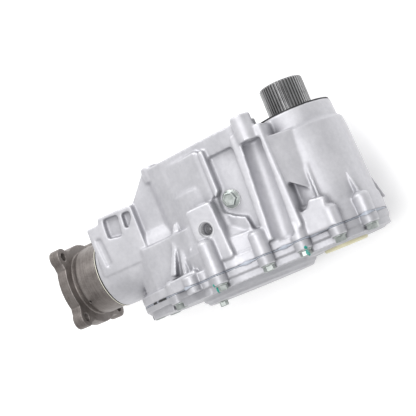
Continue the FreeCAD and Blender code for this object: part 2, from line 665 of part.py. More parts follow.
def output_flange():
    drum_x = NOSE_END_X - 3.1
    rim_x = FLANGE_BACK_X - FLANGE_THICKNESS
    core = turned_x([
        (TAIL_BEARING_X, FLANGE_SPLINE_R), (TAIL_BEARING_X, FLANGE_SLEEVE_R - 1),
        (TAIL_BEARING_X - 2, FLANGE_SLEEVE_R),
        (drum_x, FLANGE_SLEEVE_R), (drum_x, FLANGE_DRUM_R), (FLANGE_BACK_X + 9, FLANGE_DRUM_R),
        (FLANGE_BACK_X + 5, FLANGE_DRUM_R - 3), (FLANGE_BACK_X, FLANGE_DRUM_R - 3),
        (rim_x, FLANGE_DRUM_R - 3),
        (rim_x, FLANGE_DISH_R), (DISH_FLOOR_X, FLANGE_DISH_R - 1), (DISH_FLOOR_X, FLANGE_SPLINE_R)])
    rim = [tube_x(FLANGE_RIM_R, FLANGE_DISH_R, rim_x, FLANGE_BACK_X)]
    holes = []
    for y, z in flange_hole_places():
        rim.append(cylinder_x(FLANGE_EAR_R, rim_x, FLANGE_BACK_X, y, z))
        holes.append(cylinder_x(FLANGE_HOLE_R, rim_x - 1, FLANGE_BACK_X + 1, y, z))
    web = flange_web(rim_x)
    rim = fuse(rim + [web]).cut(cylinder_x(FLANGE_DISH_R, rim_x - 1, FLANGE_BACK_X + 1))
    return core.fuse(rim).cut(holes)


def flange_hole_places():
    places = []
    for k in range(FLANGE_EARS):
        angle = math.pi / 4 + 2 * math.pi * k / FLANGE_EARS
        places.append((PINION_AXIS_Y + FLANGE_PCD / 2 * math.sin(angle), FLANGE_PCD / 2 * math.cos(angle)))
    return places


def flange_web(rim_x):
    """Concave shoulders that blend each ear in to the rim."""
    webs = []
    for k in range(FLANGE_EARS):
        angle = 45.0 + 360.0 * k / FLANGE_EARS
        half = FLANGE_EAR_R + 5.0
        r0, r1 = FLANGE_DISH_R + 6, FLANGE_PCD / 2
        points = [V(rim_x, r0, -half), V(rim_x, r1 - 6, -half + 1), V(rim_x, r1, -FLANGE_EAR_R),
                  V(rim_x, r1, FLANGE_EAR_R), V(rim_x, r1 - 6, half - 1), V(rim_x, r0, half)]
        block = Part.Face(Part.makePolygon(points + points[:1])).extrude(V(FLANGE_THICKNESS, 0, 0))
        block.rotate(V(0, 0, 0), X_AXIS, angle)
        block.translate(V(0, PINION_AXIS_Y, 0))
        webs.append(block)
    return fuse(webs)


def flange_washer():
    return tube_x(20.0, PINION_THREAD_R + 0.3, DISH_FLOOR_X - WASHER_THICKNESS, DISH_FLOOR_X)


def pinion_nut():
    base = DISH_FLOOR_X - WASHER_THICKNESS
    nut = hexagon(NUT_ACROSS_FLATS, NUT_HEIGHT, V(base, PINION_AXIS_Y, 0), V(-1, 0, 0))
    chamfer = turned_x([(base, 0), (base, NUT_ACROSS_FLATS), (base - NUT_HEIGHT + 6, NUT_ACROSS_FLATS),
                        (base - NUT_HEIGHT, NUT_ACROSS_FLATS / 2), (base - NUT_HEIGHT, 0)])
    return nut.common(chamfer).cut(cylinder_x(PINION_THREAD_R, base - NUT_HEIGHT - 1, base + 1))


# ================================================================ case and cover
INPUT_ROOM_R = INPUT_GEAR_R + GEAR_ROOM_GAP
DRIVEN_ROOM_R = DRIVEN_GEAR_R + GEAR_ROOM_GAP
INPUT_HOUSING_R = INPUT_ROOM_R + INPUT_WALL
DRIVEN_HOUSING_R = DRIVEN_ROOM_R + WALL
RING_ROOM_R = RING_TIP_R + GEAR_ROOM_GAP
RING_HOUSING_R = RING_ROOM_R + WALL
GEAR_ROOM_TOP_Y = GEAR_TOP_Y + FACE_GAP
RING_ROOM_TOP_Y = RING_FLANGE_Y + 5.0 + FACE_GAP
SHIM_THICKNESS = 1.0
INPUT_SEAT_END_Y = INPUT_UPPER_BEARING_Y + INPUT_BEARING_WIDTH + SHIM_THICKNESS
TRANSFER_SEAT_END_Y = TRANSFER_UPPER_BEARING_Y + TRANSFER_BEARING_WIDTH + SHIM_THICKNESS
TOWER_R = TRANSFER_BEARING_R + 8.0
TOWER_TOP_Y = TRANSFER_SEAT_END_Y + 9.0

FILLER_FACE = V(FILLER_X, FILLER_Y, FILLER_FACE_Z)
DRAIN_FACE = V(DRAIN_X, -DOME_DEPTH + DRAIN_RECESS, DRAIN_Z)

# Outlines in plan, as (x, z) with z above 0. Each is closed by its mirror image.
BELL = [(BELL_END_X, 40.0), (-240.0, 53.0), (-200.0, 58.0), (-165.0, 68.0), (-130.0, 68.0)]
BELL_ROOM = [(BELL_END_X + WALL, 35.0), (-238.0, 46.0), (-202.0, 51.0), (-180.0, 51.0)]
BELL_FLANGE = [(-283.0, 24.0), (-270.0, 42.0), (-236.0, 64.0), (-200.0, 74.0), (-150.0, 88.0)]
BELL_BAND = [(-279.0, 22.0), (-267.0, 39.0), (-234.0, 60.0), (-199.0, 72.0), (-150.0, 84.0)]
BODY = [(-208.0, 34.0), (-190.0, 50.0), (-169.0, 60.0), (-110.0, 71.0), (-60.0, 78.0), (-31.0, 78.0)]
BODY_POCKET = [(-198.0, 30.0), (-187.0, 43.0), (-166.0, 52.0), (-108.0, 59.0), (-72.0, 59.0)]


def cover_bolt_places():
    return UPPER_BOLTS + LOWER_BOLTS


def joint_outline(y0, y1):
    """The outline shared by the case flange, the sealant and the cover flange."""
    pieces = [
        belt_prism(INPUT_HOUSING_R + FLANGE_LIP, DRIVEN_HOUSING_R + FLANGE_LIP, y0, y1),
        plan_prism(mirrored(BELL_FLANGE), y0, y1, 10.0),
    ]
    for x, z, _ in cover_bolt_places():
        pieces.append(cylinder_y(BOLT_BOSS_R, y0, y1, x, z))
    for x, z in DOWELS:
        pieces.append(cylinder_y(DOWEL_BOSS_R, y0, y1, x, z))
    return fuse(pieces)


def joint_opening(y0, y1):
    return fuse([belt_prism(INPUT_ROOM_R, DRIVEN_ROOM_R, y0, y1),
                 plan_prism(mirrored(BELL_ROOM), y0, y1, 6.0)])


def radial_rib(angle, axis_x, r_in, low, high, thickness):
    """A gusset that stands out from an axis along Y. low and high are (radius, y) at its foot and its tip."""
    points = [V(r_in, low[1], 0), V(low[0], low[1], 0), V(high[0], high[1], 0), V(r_in, high[1], 0)]
    plate = Part.Face(Part.makePolygon(points + points[:1])).extrude(V(0, 0, thickness))
    plate.translate(V(0, 0, -thickness / 2))
    plate.rotate(V(0, 0, 0), Y_AXIS, -angle)
    plate.translate(V(axis_x, 0, 0))
    return plate


def column(x, z, height):
    """A round bolt boss that stands on the joint, with a blunt top."""
    return turned_y([(0, 0), (BOLT_BOSS_R, 0), (BOLT_BOSS_R, height - 4), (BOLT_BOSS_R - 4, height),
                     (0, height)], x, z)


def on_both_sides(shape):
    """The shape and its mirror image in the plane of the axes."""
    return [shape, shape.mirror(V(0, 0, 0), Z_AXIS)]


def input_housing():
    return turned_y([
        (0, 0), (INPUT_HOUSING_R, 0), (INPUT_HOUSING_R, GEAR_ROOM_TOP_Y),
        (SHOULDER_R + 1.5, SHOULDER_Y - 14),
        (SHOULDER_R, SHOULDER_Y), (NECK_R + 0.8, SHOULDER_Y + 4), (NECK_R, NECK_TOP_Y - 1),
        (NECK_R - 1, NECK_TOP_Y),
        (0, NECK_TOP_Y)])


def ring_housing():
    return turned_y([
        (0, 0), (DRIVEN_HOUSING_R, 0), (DRIVEN_HOUSING_R, GEAR_ROOM_TOP_Y + 4),
        (RING_HOUSING_R + 2, GEAR_ROOM_TOP_Y + 20),
        (RING_HOUSING_R, RING_ROOM_TOP_Y - 4), (RING_HOUSING_R - 10, RING_ROOM_TOP_Y + WALL),
        (TOWER_R, RING_ROOM_TOP_Y + WALL + 6),
        (TOWER_R, TOWER_TOP_Y - 2), (TOWER_R - 2, TOWER_TOP_Y), (0, TOWER_TOP_Y)], RING_X)


def nose():
    """The round pinion nose, and the box that stands on it."""
    pieces = [cylinder_x(NOSE_R, NOSE_END_X, -190.0)]
    half = NOSE_BLOCK_HALF
    pieces.append(side_prism([(-288.0, 57.0), (-288.0, 131.5), (-234.0, 130.0), (-234.0, 57.0)], -half,
                             half, 4.0))
    pieces.append(side_prism([(-308.0, 57.0), (-308.0, 123.5), (-286.0, 123.5), (-286.0, 57.0)], -half,
                             half, 2.0))
    pieces.append(side_prism([(-261.0, 56.0), (-240.0, 126.0), (-209.0, BODY_TOP_Y - 2),
                              (-190.0, BODY_TOP_Y),
                              (-190.0, 56.0)], -40.0, 40.0, 5.0))
    return pieces


def nose_hollows():
    """Shallow hollows between the ribs of the nose box."""
    outlines = [
        [(-280.0, 127.0), (-257.0, 125.5), (-261.0, 97.0), (-282.0, 101.0)],
        [(-251.0, 124.0), (-238.0, 123.0), (-240.0, 113.0), (-253.0, 98.0)],
        [(-302.0, 108.0), (-292.0, 106.0), (-289.0, 70.0), (-299.0, 66.0)],
    ]
    cuts = []
    for outline, depth in zip(outlines, (8.0, 7.0, 2.5)):
        cuts += on_both_sides(side_prism(outline, NOSE_BLOCK_HALF - depth, NOSE_BLOCK_HALF + 10, 3.0))
    roof = side_prism([(-283.0, 119.0), (-283.0, 140.0), (-244.0, 140.0), (-244.0, 119.0)], -33.0, 33.0,
                      4.0)
    return cuts + [roof]


def near_face_pads():
    """Pads, ridges and columns on the broad face, built on the upper side."""
    pad = side_prism([
        (SENSOR_X - 18, SENSOR_Y - 12), (SENSOR_X - 18, SENSOR_Y + 30), (SENSOR_X + 18, SENSOR_Y + 30),
        (SENSOR_X + 22, CASE_FLANGE_HEIGHT), (SENSOR_X + 4, CASE_FLANGE_HEIGHT),
        (SENSOR_X + 4, SENSOR_Y - 12)],
        50.0, PAD_FACE_Z, 4.0)
    ridge = side_prism([(-105.0, 84.0), (-105.0, 148.0), (-98.5, 148.0), (-98.5, 84.0)], 50.0, 80.0, 3.0)
    # the panel rises out of the body from left to right
    panel = plan_prism([(-176.0, 50.0), (-176.0, 57.0), (-112.0, 77.5), (-104.0, 77.0), (-104.0, 50.0)],
                       84.0, 156.0, 3.0)
    panel = panel.common(side_prism([(-178.0, 88.0), (-178.0, 151.0), (-104.0, 151.0), (-104.0, 88.0)],
                                    40.0, 90.0, 9.0))
    tall = side_prism([(-64.0, 13.0), (-57.0, 148.0), (-14.0, 148.0), (-13.0, 13.0)], 45.0, 85.0, 4.0)
    block = side_prism([(-16.0, 0.0), (-16.0, 29.0), (-4.0, 31.0), (3.0, 40.0), (22.0, 37.0), (17.0, 0.0)],
                       45.0, 76.0, 3.0)
    # a web runs from the tall column down on to the round housing, and stops above the block
    web = plan_prism([(-16.0, 80.0), (-10.0, 75.0), (9.0, 57.0), (9.0, 45.0), (-16.0, 45.0)], 30.0, 129.0,
                     3.0)
    web = web.common(side_prism([(-18.0, 75.0), (-13.0, 70.0), (18.0, 40.0), (18.0, 140.0), (-18.0, 140.0)],
                                40.0, 90.0, 2.0))
    ledge = side_prism([(-206.0, 0.0), (-206.0, 15.0), (-166.0, 18.0), (-166.0, 0.0)], 45.0, 84.0, 2.0)
    return [pad, ridge, panel, tall, block, web, ledge] + slanted_legs()


def slanted_legs():
    """Two thin ribs that start together high on the body and run down to the flange of the bell."""
    slope = Part.Face(Part.makePolygon([V(-215.0, y, z) for y, z in (
        (90.0, 45.0), (90.0, 56.0), (15.0, 70.0), (15.0, 45.0), (90.0, 45.0))])).extrude(V(50.0, 0, 0))
    legs = [
        side_prism([(-184.0, 82.0), (-180.0, 82.0), (-200.0, 20.0), (-209.0, 22.0)], 45.0, 72.0, 1.5),
        side_prism([(-181.0, 82.0), (-177.0, 82.0), (-184.0, 18.0), (-191.0, 18.0)], 45.0, 72.0, 1.5),
    ]
    return [leg.common(slope) for leg in legs]


def spanner_channel():
    """A drafted round channel for the bolt of the near ear and its spanner."""
    x0, y0, z0, r0 = CHANNEL_FOOT
    x1, y1, z1, r1 = CHANNEL_TOP
    foot = Part.Wire(Part.Circle(V(x0, y0, z0), Y_AXIS, r0).toShape())
    top = Part.Wire(Part.Circle(V(x1, y1, z1), Y_AXIS, r1).toShape())
    return Part.makeLoft([foot, top], True)


def main_case_outer():
    pieces = [joint_outline(0, CASE_FLANGE_HEIGHT), input_housing(), ring_housing()]
    pieces.append(turned_y([(0, 0), (INPUT_HOUSING_R + FLANGE_LIP - 1, 0),
                            (INPUT_HOUSING_R + FLANGE_LIP - 1, COLLAR_HEIGHT),
                            (INPUT_HOUSING_R - 2, COLLAR_HEIGHT + 7), (0, COLLAR_HEIGHT + 7)]))
    pieces.append(belt_prism(INPUT_HOUSING_R, DRIVEN_HOUSING_R, 0, GEAR_ROOM_TOP_Y + WALL))
    pieces.append(plan_prism(mirrored(BELL), 0, BELL_TOP_Y, 8.0))
    pieces.append(plan_prism(mirrored(BODY), CASE_FLANGE_HEIGHT, BODY_TOP_Y, 8.0))
    pieces.append(plan_prism(mirrored([(-60.0, 40.0), (10.0, 40.0)]), CASE_FLANGE_HEIGHT, NECK_TOP_Y - 4,
                             5.0))
    pieces += nose()
    for piece in near_face_pads():
        pieces += on_both_sides(piece)
    for x, z, height in cover_bolt_places():
        pieces.append(column(x, z, height))
    for (x, z), height in ((NEAR_EAR, NEAR_EAR_HEIGHT), (FAR_EAR, EAR_HEIGHT)):
        pieces += on_both_sides(cylinder_y(EAR_R, MATING_FACE_Y - height, MATING_FACE_Y, x, z))
    for angle, top in ((79.0, 82.0), (37.0, 62.0)):
        rib = radial_rib(angle, 0.0, 50.0, (INPUT_HOUSING_R + 12, CASE_FLANGE_HEIGHT),
                         (SHOULDER_R + 3, top), 3.5)
        pieces += on_both_sides(rib)
    for angle in (123.0, 132.0, 141.0):
        rib = radial_rib(angle, RING_X, 60.0, (DRIVEN_HOUSING_R + 4, CASE_FLANGE_HEIGHT),
                         (RING_HOUSING_R, 74.0), 4.0)
        pieces += on_both_sides(rib)
    for x, y in bracket_places():
        pieces.append(cylinder_z(BRACKET_BOSS_R, BRACKET_FACE_Z, -50.0, x, y))
    return fuse(pieces)


def bracket_places():
    places = []
    for x in (RING_X - BRACKET_SPACING_X / 2, RING_X + BRACKET_SPACING_X / 2):
        places += [(x, BRACKET_LOW_Y), (x, BRACKET_LOW_Y + BRACKET_SPACING_Y)]
    return places


def main_case():
    case = main_case_outer()
    # rooms for the gears
    case = case.cut(plan_prism(mirrored(BELL_ROOM), -1, BELL_TOP_Y - WALL, 6.0))
    case = case.fuse(cylinder_x(NOSE_R, NOSE_END_X, -190.0))
    rooms = [
        belt_prism(INPUT_ROOM_R, DRIVEN_ROOM_R, -1, GEAR_ROOM_TOP_Y),
        cylinder_y(RING_ROOM_R, GEAR_ROOM_TOP_Y - 1, RING_ROOM_TOP_Y, RING_X),
        turned_y([(0, 0), (INPUT_ROOM_R - 3, 0), (INPUT_ROOM_R - 3, GEAR_ROOM_TOP_Y),
                  (INPUT_BEARING_R + 3, INPUT_UPPER_BEARING_Y - 8),
                  (INPUT_BEARING_R, INPUT_UPPER_BEARING_Y - 5), (INPUT_BEARING_R, INPUT_SEAT_END_Y),
                  (INPUT_BEARING_R - 5, INPUT_SEAT_END_Y),
                  (INPUT_BEARING_R - 5, NECK_TOP_Y - INPUT_SEAL_WIDTH),
                  (INPUT_SEAL_R, NECK_TOP_Y - INPUT_SEAL_WIDTH), (INPUT_SEAL_R, NECK_TOP_Y + 1),
                  (0, NECK_TOP_Y + 1)]),
        turned_y([(0, 40), (TRANSFER_BEARING_R, 40), (TRANSFER_BEARING_R, TRANSFER_SEAT_END_Y),
                  (TRANSFER_BEARING_R - 5, TRANSFER_SEAT_END_Y),
                  (TRANSFER_BEARING_R - 5, TRANSFER_SEAT_END_Y + 3),
                  (0, TRANSFER_SEAT_END_Y + 3)], RING_X),
        turned_x([(-180.0, 0), (-180.0, HEAD_BEARING_R), (HEAD_BACK_X - SHIM_THICKNESS, HEAD_BEARING_R),
                  (HEAD_BACK_X - SHIM_THICKNESS, HEAD_BEARING_R - 6), (TAIL_FRONT_X, HEAD_BEARING_R - 6),
                  (TAIL_FRONT_X, TAIL_BEARING_R), (NOSE_END_X + PINION_SEAL_WIDTH, TAIL_BEARING_R),
                  (NOSE_END_X + PINION_SEAL_WIDTH, PINION_SEAL_R), (NOSE_END_X - 1, PINION_SEAL_R),
                  (NOSE_END_X - 1, 0)]),
    ]
    case = case.cut(rooms)
    # open pockets in the side that meets the transaxle
    pocket = plan_prism(mirrored(BODY_POCKET), RING_ROOM_TOP_Y + WALL, BODY_TOP_Y + 1, 6.0)
    pocket = pocket.cut([cylinder_y(TOWER_R, 0, TOWER_TOP_Y, RING_X)] + on_both_sides(
        cylinder_y(EAR_R, 0, MATING_FACE_Y, *FAR_EAR)) + pocket_ribs())
    recess = side_prism([(-98.5, 137.0), (-98.5, 94.0), (-106.0, 86.0), (-106.0, 68.0), (-92.0, 58.0),
                         (-79.0, 52.0),
                         (-76.0, 34.0), (-65.0, 31.0), (-61.0, 137.0)], FILLER_FACE_Z, 120.0, 4.0)
    round_neck = [tube_y(NECK_R + 6, NECK_R, NECK_TOP_Y - 4, BODY_TOP_Y + 1),
                  cylinder_y(NECK_R, NECK_TOP_Y, BODY_TOP_Y + 1)]
    cuts = [pocket, recess] + round_neck + nose_hollows()
    cuts += fastener_holes()
    return case.cut(cuts)


def pocket_ribs():
    ribs = []
    for angle in (0.0, 58.0, 122.0, 180.0, 238.0, 302.0):
        ribs.append(radial_rib(angle, RING_X, 0.0, (95.0, RING_ROOM_TOP_Y), (95.0, TOWER_TOP_Y - 6), 5.0))
    return ribs


def fastener_holes():
    holes = []
    for x, z, height in cover_bolt_places():
        holes.append(cylinder_y(BOLT_R, -1, BOLT_GRIP - COVER_BOSS_FACE + 2, x, z))
    for x, z in DOWELS:
        holes.append(cylinder_y(DOWEL_R, -1, DOWEL_LENGTH / 2, x, z))
    x, z = NEAR_EAR
    low = MATING_FACE_Y - NEAR_EAR_HEIGHT - 1
    holes += on_both_sides(cylinder_y(EAR_HOLE_R, low, MATING_FACE_Y + 1, x, z))
    holes += on_both_sides(spanner_channel())
    x, z = FAR_EAR
    low = MATING_FACE_Y - 1.6 * EAR_HEIGHT
    holes += on_both_sides(cylinder_y(EAR_HOLE_R, low, MATING_FACE_Y + 1, x, z))
    high = BRACKET_FACE_Z + BRACKET_HOLE_DEPTH
    for x, y in bracket_places():
        holes.append(cylinder_z(BRACKET_HOLE_R, BRACKET_FACE_Z - 1, high, x, y))
    low = PAD_FACE_Z - SENSOR_HOLE_DEPTH
    holes.append(cylinder_z(SENSOR_HOLE_R, low, PAD_FACE_Z + 1, SENSOR_X, SENSOR_Y))
    holes.append(cylinder_z(FILLER_R, FILLER_FACE_Z - 16, FILLER_FACE_Z + 1, FILLER_X, FILLER_Y))
    return holes


def side_cover():
    top = -SEALANT_THICKNESS
    pieces = [
        joint_outline(-COVER_FLANGE, top),
        belt_prism(INPUT_HOUSING_R + 1, DRIVEN_HOUSING_R + 1, -COVER_BAND, top),
        plan_prism(mirrored(BELL_BAND), -COVER_BAND, top, 8.0),
    ]
    for x, z, _ in cover_bolt_places():
        pieces.append(cylinder_y(BOLT_BOSS_R, -COVER_BOSS_FACE, top, x, z))
    dome = turned_y([
        (0, top), (DOME_R + 7, top), (DOME_R + 7, -COVER_BAND), (DOME_R + 2, -COVER_BAND - 1),
        (DOME_R, -DOME_DEPTH + 5), (DOME_R - 3, -DOME_DEPTH + 3.5), (DOME_R - 4, -DOME_DEPTH + 1),
        (DOME_R - 5, -DOME_DEPTH), (0, -DOME_DEPTH)], RING_X)
    hub = turned_y([(0, top), (HUB_R, top), (HUB_R, -HUB_DEPTH + 4.5), (HUB_R - 8, -HUB_DEPTH),
                    (0, -HUB_DEPTH)])
    cover = fuse(pieces + [dome, hub])
    floor = -DOME_DEPTH + COVER_FLOOR
    seat_wall = TRANSFER_BEARING_R + COVER_SEAT_WALL
    inside = cylinder_y(DOME_R - WALL, floor, 1, RING_X)
    kept = [cylinder_y(seat_wall, floor, TRANSFER_LOWER_BEARING_Y, RING_X),
            cylinder_y(DRAIN_R + WALL, floor, DRAIN_FACE.y + DRAIN_REACH, DRAIN_X, DRAIN_Z)]
    pitch = 360.0 / COVER_RIBS
    for k in range(COVER_RIBS):
        kept.append(radial_rib(pitch / 2 + pitch * k, RING_X, 0.0, (DOME_R, floor),
                               (DOME_R, floor + COVER_RIB_HEIGHT), COVER_RIB_WIDTH))
    cover = cover.cut(inside.cut(kept + [cylinder_y(HUB_R, -40, 2)]))
    cuts = [
        cylinder_y(TRANSFER_BEARING_R, floor, 1, RING_X),
        cylinder_y(INPUT_BEARING_R, INPUT_LOWER_END_Y, 1),
        cylinder_y(HALFSHAFT_SEAL_R, -HUB_DEPTH - 1, 1),
        plan_prism(mirrored(BELL_ROOM), -COVER_BAND + COVER_FLOOR, 1, 6.0),
        cylinder_y(DRAIN_R, -DOME_DEPTH - 2, DRAIN_FACE.y + DRAIN_REACH + 1, DRAIN_X, DRAIN_Z),
        cylinder_y(DRAIN_R + PLUG_FLANGE_LIP + PLUG_GAP, -DOME_DEPTH - 1, DRAIN_FACE.y, DRAIN_X, DRAIN_Z),
    ]
    for x, z, _ in cover_bolt_places():
        cuts.append(cylinder_y(BOLT_HOLE_R, -DOME_DEPTH, 1, x, z))
        cuts.append(cylinder_y(BOLT_FLANGE_R + BOLT_NOTCH_GAP, -DOME_DEPTH - 2, -COVER_BOSS_FACE, x, z))
    for x, z in DOWELS:
        cuts.append(cylinder_y(DOWEL_R, -DOWEL_LENGTH / 2, 1, x, z))
    return cover.cut(cuts)


def sealant_bead():
    holes = [joint_opening(-SEALANT_THICKNESS - 1, 1)]
    for x, z, _ in cover_bolt_places():
        holes.append(cylinder_y(BOLT_HOLE_R, -2, 1, x, z))
    for x, z in DOWELS:
        holes.append(cylinder_y(DOWEL_R, -2, 1, x, z))
    return joint_outline(-SEALANT_THICKNESS, 0).cut(holes)


# ================================================================ fasteners, plugs and shims
def cover_bolts():
    bolts = []
    face = -COVER_BOSS_FACE
    for x, z, _ in cover_bolt_places():
        bolts.append(fuse([
            cylinder_y(BOLT_R, face, face + BOLT_GRIP, x, z),
            cylinder_y(BOLT_FLANGE_R, face - BOLT_FLANGE_HEIGHT, face, x, z),
            hexagon(BOLT_HEAD_FLATS, BOLT_HEAD_HEIGHT + 0.1, V(x, face - BOLT_FLANGE_HEIGHT + 0.1, z),
                    V(0, -1, 0))]))
    return Part.makeCompound(bolts)


def dowel_pins():
    half = DOWEL_LENGTH / 2
    return Part.makeCompound([cylinder_y(DOWEL_R, -half, half, x, z) for x, z in DOWELS])


def screw_plug(face, axis, thread_r, reach):
    """A flanged hexagon plug whose washer stands on the point face, with its head along axis."""
    seat = face + axis * PLUG_WASHER_THICKNESS
    thread = Part.makeCylinder(thread_r, reach, seat - axis * reach, axis)
    flange = Part.makeCylinder(thread_r + PLUG_FLANGE_LIP, PLUG_FLANGE_HEIGHT, seat, axis)
    head = hexagon(2 * thread_r, PLUG_HEAD_HEIGHT, seat + axis * (PLUG_FLANGE_HEIGHT - 0.1), axis)
    return fuse([thread, flange, head])


def plug_washer(face, axis, thread_r):
    ring = Part.makeCylinder(thread_r + PLUG_FLANGE_LIP + 0.5, PLUG_WASHER_THICKNESS, face, axis)
    return ring.cut(Part.makeCylinder(thread_r, PLUG_WASHER_THICKNESS, face, axis))




def shims():
    return {
        "input_shim": tube_y(INPUT_BEARING_R, INPUT_BEARING_R - 5, INPUT_SEAT_END_Y - SHIM_THICKNESS,
                             INPUT_SEAT_END_Y),
        "transfer_shim": tube_y(TRANSFER_BEARING_R, TRANSFER_BEARING_R - 5,
                                TRANSFER_SEAT_END_Y - SHIM_THICKNESS,
                                TRANSFER_SEAT_END_Y, RING_X),
        "pinion_shim": tube_x(HEAD_BEARING_R, HEAD_BEARING_R - 6, HEAD_BACK_X - SHIM_THICKNESS,
                              HEAD_BACK_X),
    }


def bearings():
    """Every bearing: name, back of its cup, direction to the cone's back, bore, outside and width."""
    down, up = V(0, -1, 0), V(0, 1, 0)
    fits = [
        ("input_lower_bearing", V(0, INPUT_LOWER_END_Y, 0), up, INPUT_JOURNAL_R, INPUT_BEARING_R,
         INPUT_BEARING_WIDTH),
        ("input_upper_bearing", V(0, INPUT_UPPER_BEARING_Y + INPUT_BEARING_WIDTH, 0), down, INPUT_JOURNAL_R,
         INPUT_BEARING_R, INPUT_BEARING_WIDTH),
        ("transfer_lower_bearing", V(RING_X, TRANSFER_LOWER_BEARING_Y - TRANSFER_BEARING_WIDTH, 0), up,
         TRANSFER_JOURNAL_R, TRANSFER_BEARING_R, TRANSFER_BEARING_WIDTH),
        ("transfer_upper_bearing", V(RING_X, TRANSFER_UPPER_BEARING_Y + TRANSFER_BEARING_WIDTH, 0), down,
         TRANSFER_JOURNAL_R, TRANSFER_BEARING_R, TRANSFER_BEARING_WIDTH),
        ("pinion_head_bearing", V(HEAD_BACK_X, PINION_AXIS_Y, 0), X_AXIS, HEAD_JOURNAL_R, HEAD_BEARING_R,
         HEAD_BEARING_WIDTH),
        ("pinion_tail_bearing", V(TAIL_FRONT_X, PINION_AXIS_Y, 0), V(-1, 0, 0), TAIL_JOURNAL_R,
         TAIL_BEARING_R,
         TAIL_BEARING_WIDTH),
    ]
    pieces = {}
    for name, origin, axis, bore_r, outer_r, width in fits:
        for part_name, shape in tapered_bearing(bore_r, outer_r, width).items():
            pieces[name + "_" + part_name] = placed(shape, origin, axis)
    return pieces


def build():
    pieces = {
        "main_case": main_case(),
        "side_cover": side_cover(),
        "sealant_bead": sealant_bead(),
        "cover_bolts": cover_bolts(),
        "dowel_pins": dowel_pins(),
        "filler_plug": screw_plug(FILLER_FACE, Z_AXIS, FILLER_R, FILLER_REACH),
        "filler_plug_washer": plug_washer(FILLER_FACE, Z_AXIS, FILLER_R),
        "drain_plug": screw_plug(DRAIN_FACE, V(0, -1, 0), DRAIN_R, DRAIN_REACH),
        "drain_plug_washer": plug_washer(DRAIN_FACE, V(0, -1, 0), DRAIN_R),
        "input_shaft": input_shaft(),
        "input_drive_gear": input_drive_gear(),
        "input_seal": input_seal(),
        "halfshaft_seal": halfshaft_seal(),
        "seal_cap": seal_cap(),
        "transfer_shaft": transfer_shaft(),
        "driven_gear": driven_gear(),
        "ring_gear": ring_gear(),
        "ring_gear_bolts": ring_gear_bolts(),
        "pinion_shaft": pinion_shaft(),
        "collapsible_spacer": collapsible_spacer(),
        "pinion_seal": pinion_seal(),
        "nose_dust_ring": nose_dust_ring(),
        "dust_deflector": dust_deflector(),
        "output_flange": output_flange(),
        "flange_washer": flange_washer(),
        "pinion_nut": pinion_nut(),
    }
    pieces.update(shims())
    pieces.update(bearings())
    return pieces


os.makedirs("parts", exist_ok=True)
for name, shape in build().items():
    shape.exportStep("parts/" + name + ".step")
    print(name, len(shape.Solids), "solids", round(shape.Volume / 1000, 1), "cm3",
          "valid" if shape.isValid() else "INVALID")
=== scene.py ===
# %% [markdown]
# # A power transfer case, dressed in Blender
#
# A transfer case sits beside the gearbox of a transverse engine. It takes drive in through a hollow
# splined shaft, turns it through a right angle with a bevel pair and sends it out of a four-eared
# flange. The CAD model gives every piece its exact size. This lesson gives them their looks: the
# sand-blasted casting, the forged flange, the zinc plated bolts, the squeezed-out sealant and the
# paint marks that a fitter leaves on a tightened bolt.
#
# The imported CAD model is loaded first, as a fixed frame. Everything is in metres, and no CAD piece
# is ever moved.

# %% Load the frame
import json
import math

import bmesh
import bpy
from mathutils import Matrix, Vector, noise
from mathutils.bvhtree import BVHTree


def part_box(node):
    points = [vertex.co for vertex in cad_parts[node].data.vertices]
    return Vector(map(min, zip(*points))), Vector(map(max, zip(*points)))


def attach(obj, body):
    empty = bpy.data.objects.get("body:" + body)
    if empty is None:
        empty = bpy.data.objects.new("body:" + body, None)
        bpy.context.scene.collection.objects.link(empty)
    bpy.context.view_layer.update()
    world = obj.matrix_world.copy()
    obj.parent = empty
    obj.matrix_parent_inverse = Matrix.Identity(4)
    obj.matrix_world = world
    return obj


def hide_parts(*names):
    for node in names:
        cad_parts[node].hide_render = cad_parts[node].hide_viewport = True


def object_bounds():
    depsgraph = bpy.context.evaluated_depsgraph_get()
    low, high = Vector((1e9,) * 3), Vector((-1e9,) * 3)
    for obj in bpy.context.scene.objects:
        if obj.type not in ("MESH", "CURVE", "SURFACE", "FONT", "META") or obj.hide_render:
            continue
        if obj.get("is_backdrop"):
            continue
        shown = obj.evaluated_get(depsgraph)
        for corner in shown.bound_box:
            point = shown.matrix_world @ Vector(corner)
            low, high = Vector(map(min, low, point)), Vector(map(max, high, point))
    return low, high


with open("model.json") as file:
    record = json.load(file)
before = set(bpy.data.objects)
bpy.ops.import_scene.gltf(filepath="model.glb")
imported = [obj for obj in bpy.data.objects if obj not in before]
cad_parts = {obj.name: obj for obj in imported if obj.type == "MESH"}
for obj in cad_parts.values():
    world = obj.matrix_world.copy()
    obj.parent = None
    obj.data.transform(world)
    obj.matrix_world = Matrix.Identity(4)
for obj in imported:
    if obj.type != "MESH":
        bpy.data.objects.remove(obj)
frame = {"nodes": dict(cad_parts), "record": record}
nodes = frame["nodes"]
cad_low, cad_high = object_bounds()
MM = 0.001

# %% [markdown]
# ## The camera and the light
#
# A product shot of a heavy casting is usually taken from high up with a long lens, so that parallel
# edges stay nearly parallel. The lens is about 100 mm on a full frame sensor, a metre and a half
# away, and the camera is rolled so that the output flange hangs low on the left. The three
# directions of the camera are written as unit vectors: they are easier to read than three Euler
# angles.

# %% Camera
CAMERA_PLACE = Vector((0.4780, -0.0618, 1.3958))
CAMERA_RIGHT = Vector((0.8283, -0.3750, -0.4163))
CAMERA_UP = Vector((0.3806, 0.9218, -0.0733))
LENS_MM = 102.86
SENSOR_WIDTH_MM = 36.0
FARTHEST = 20.0

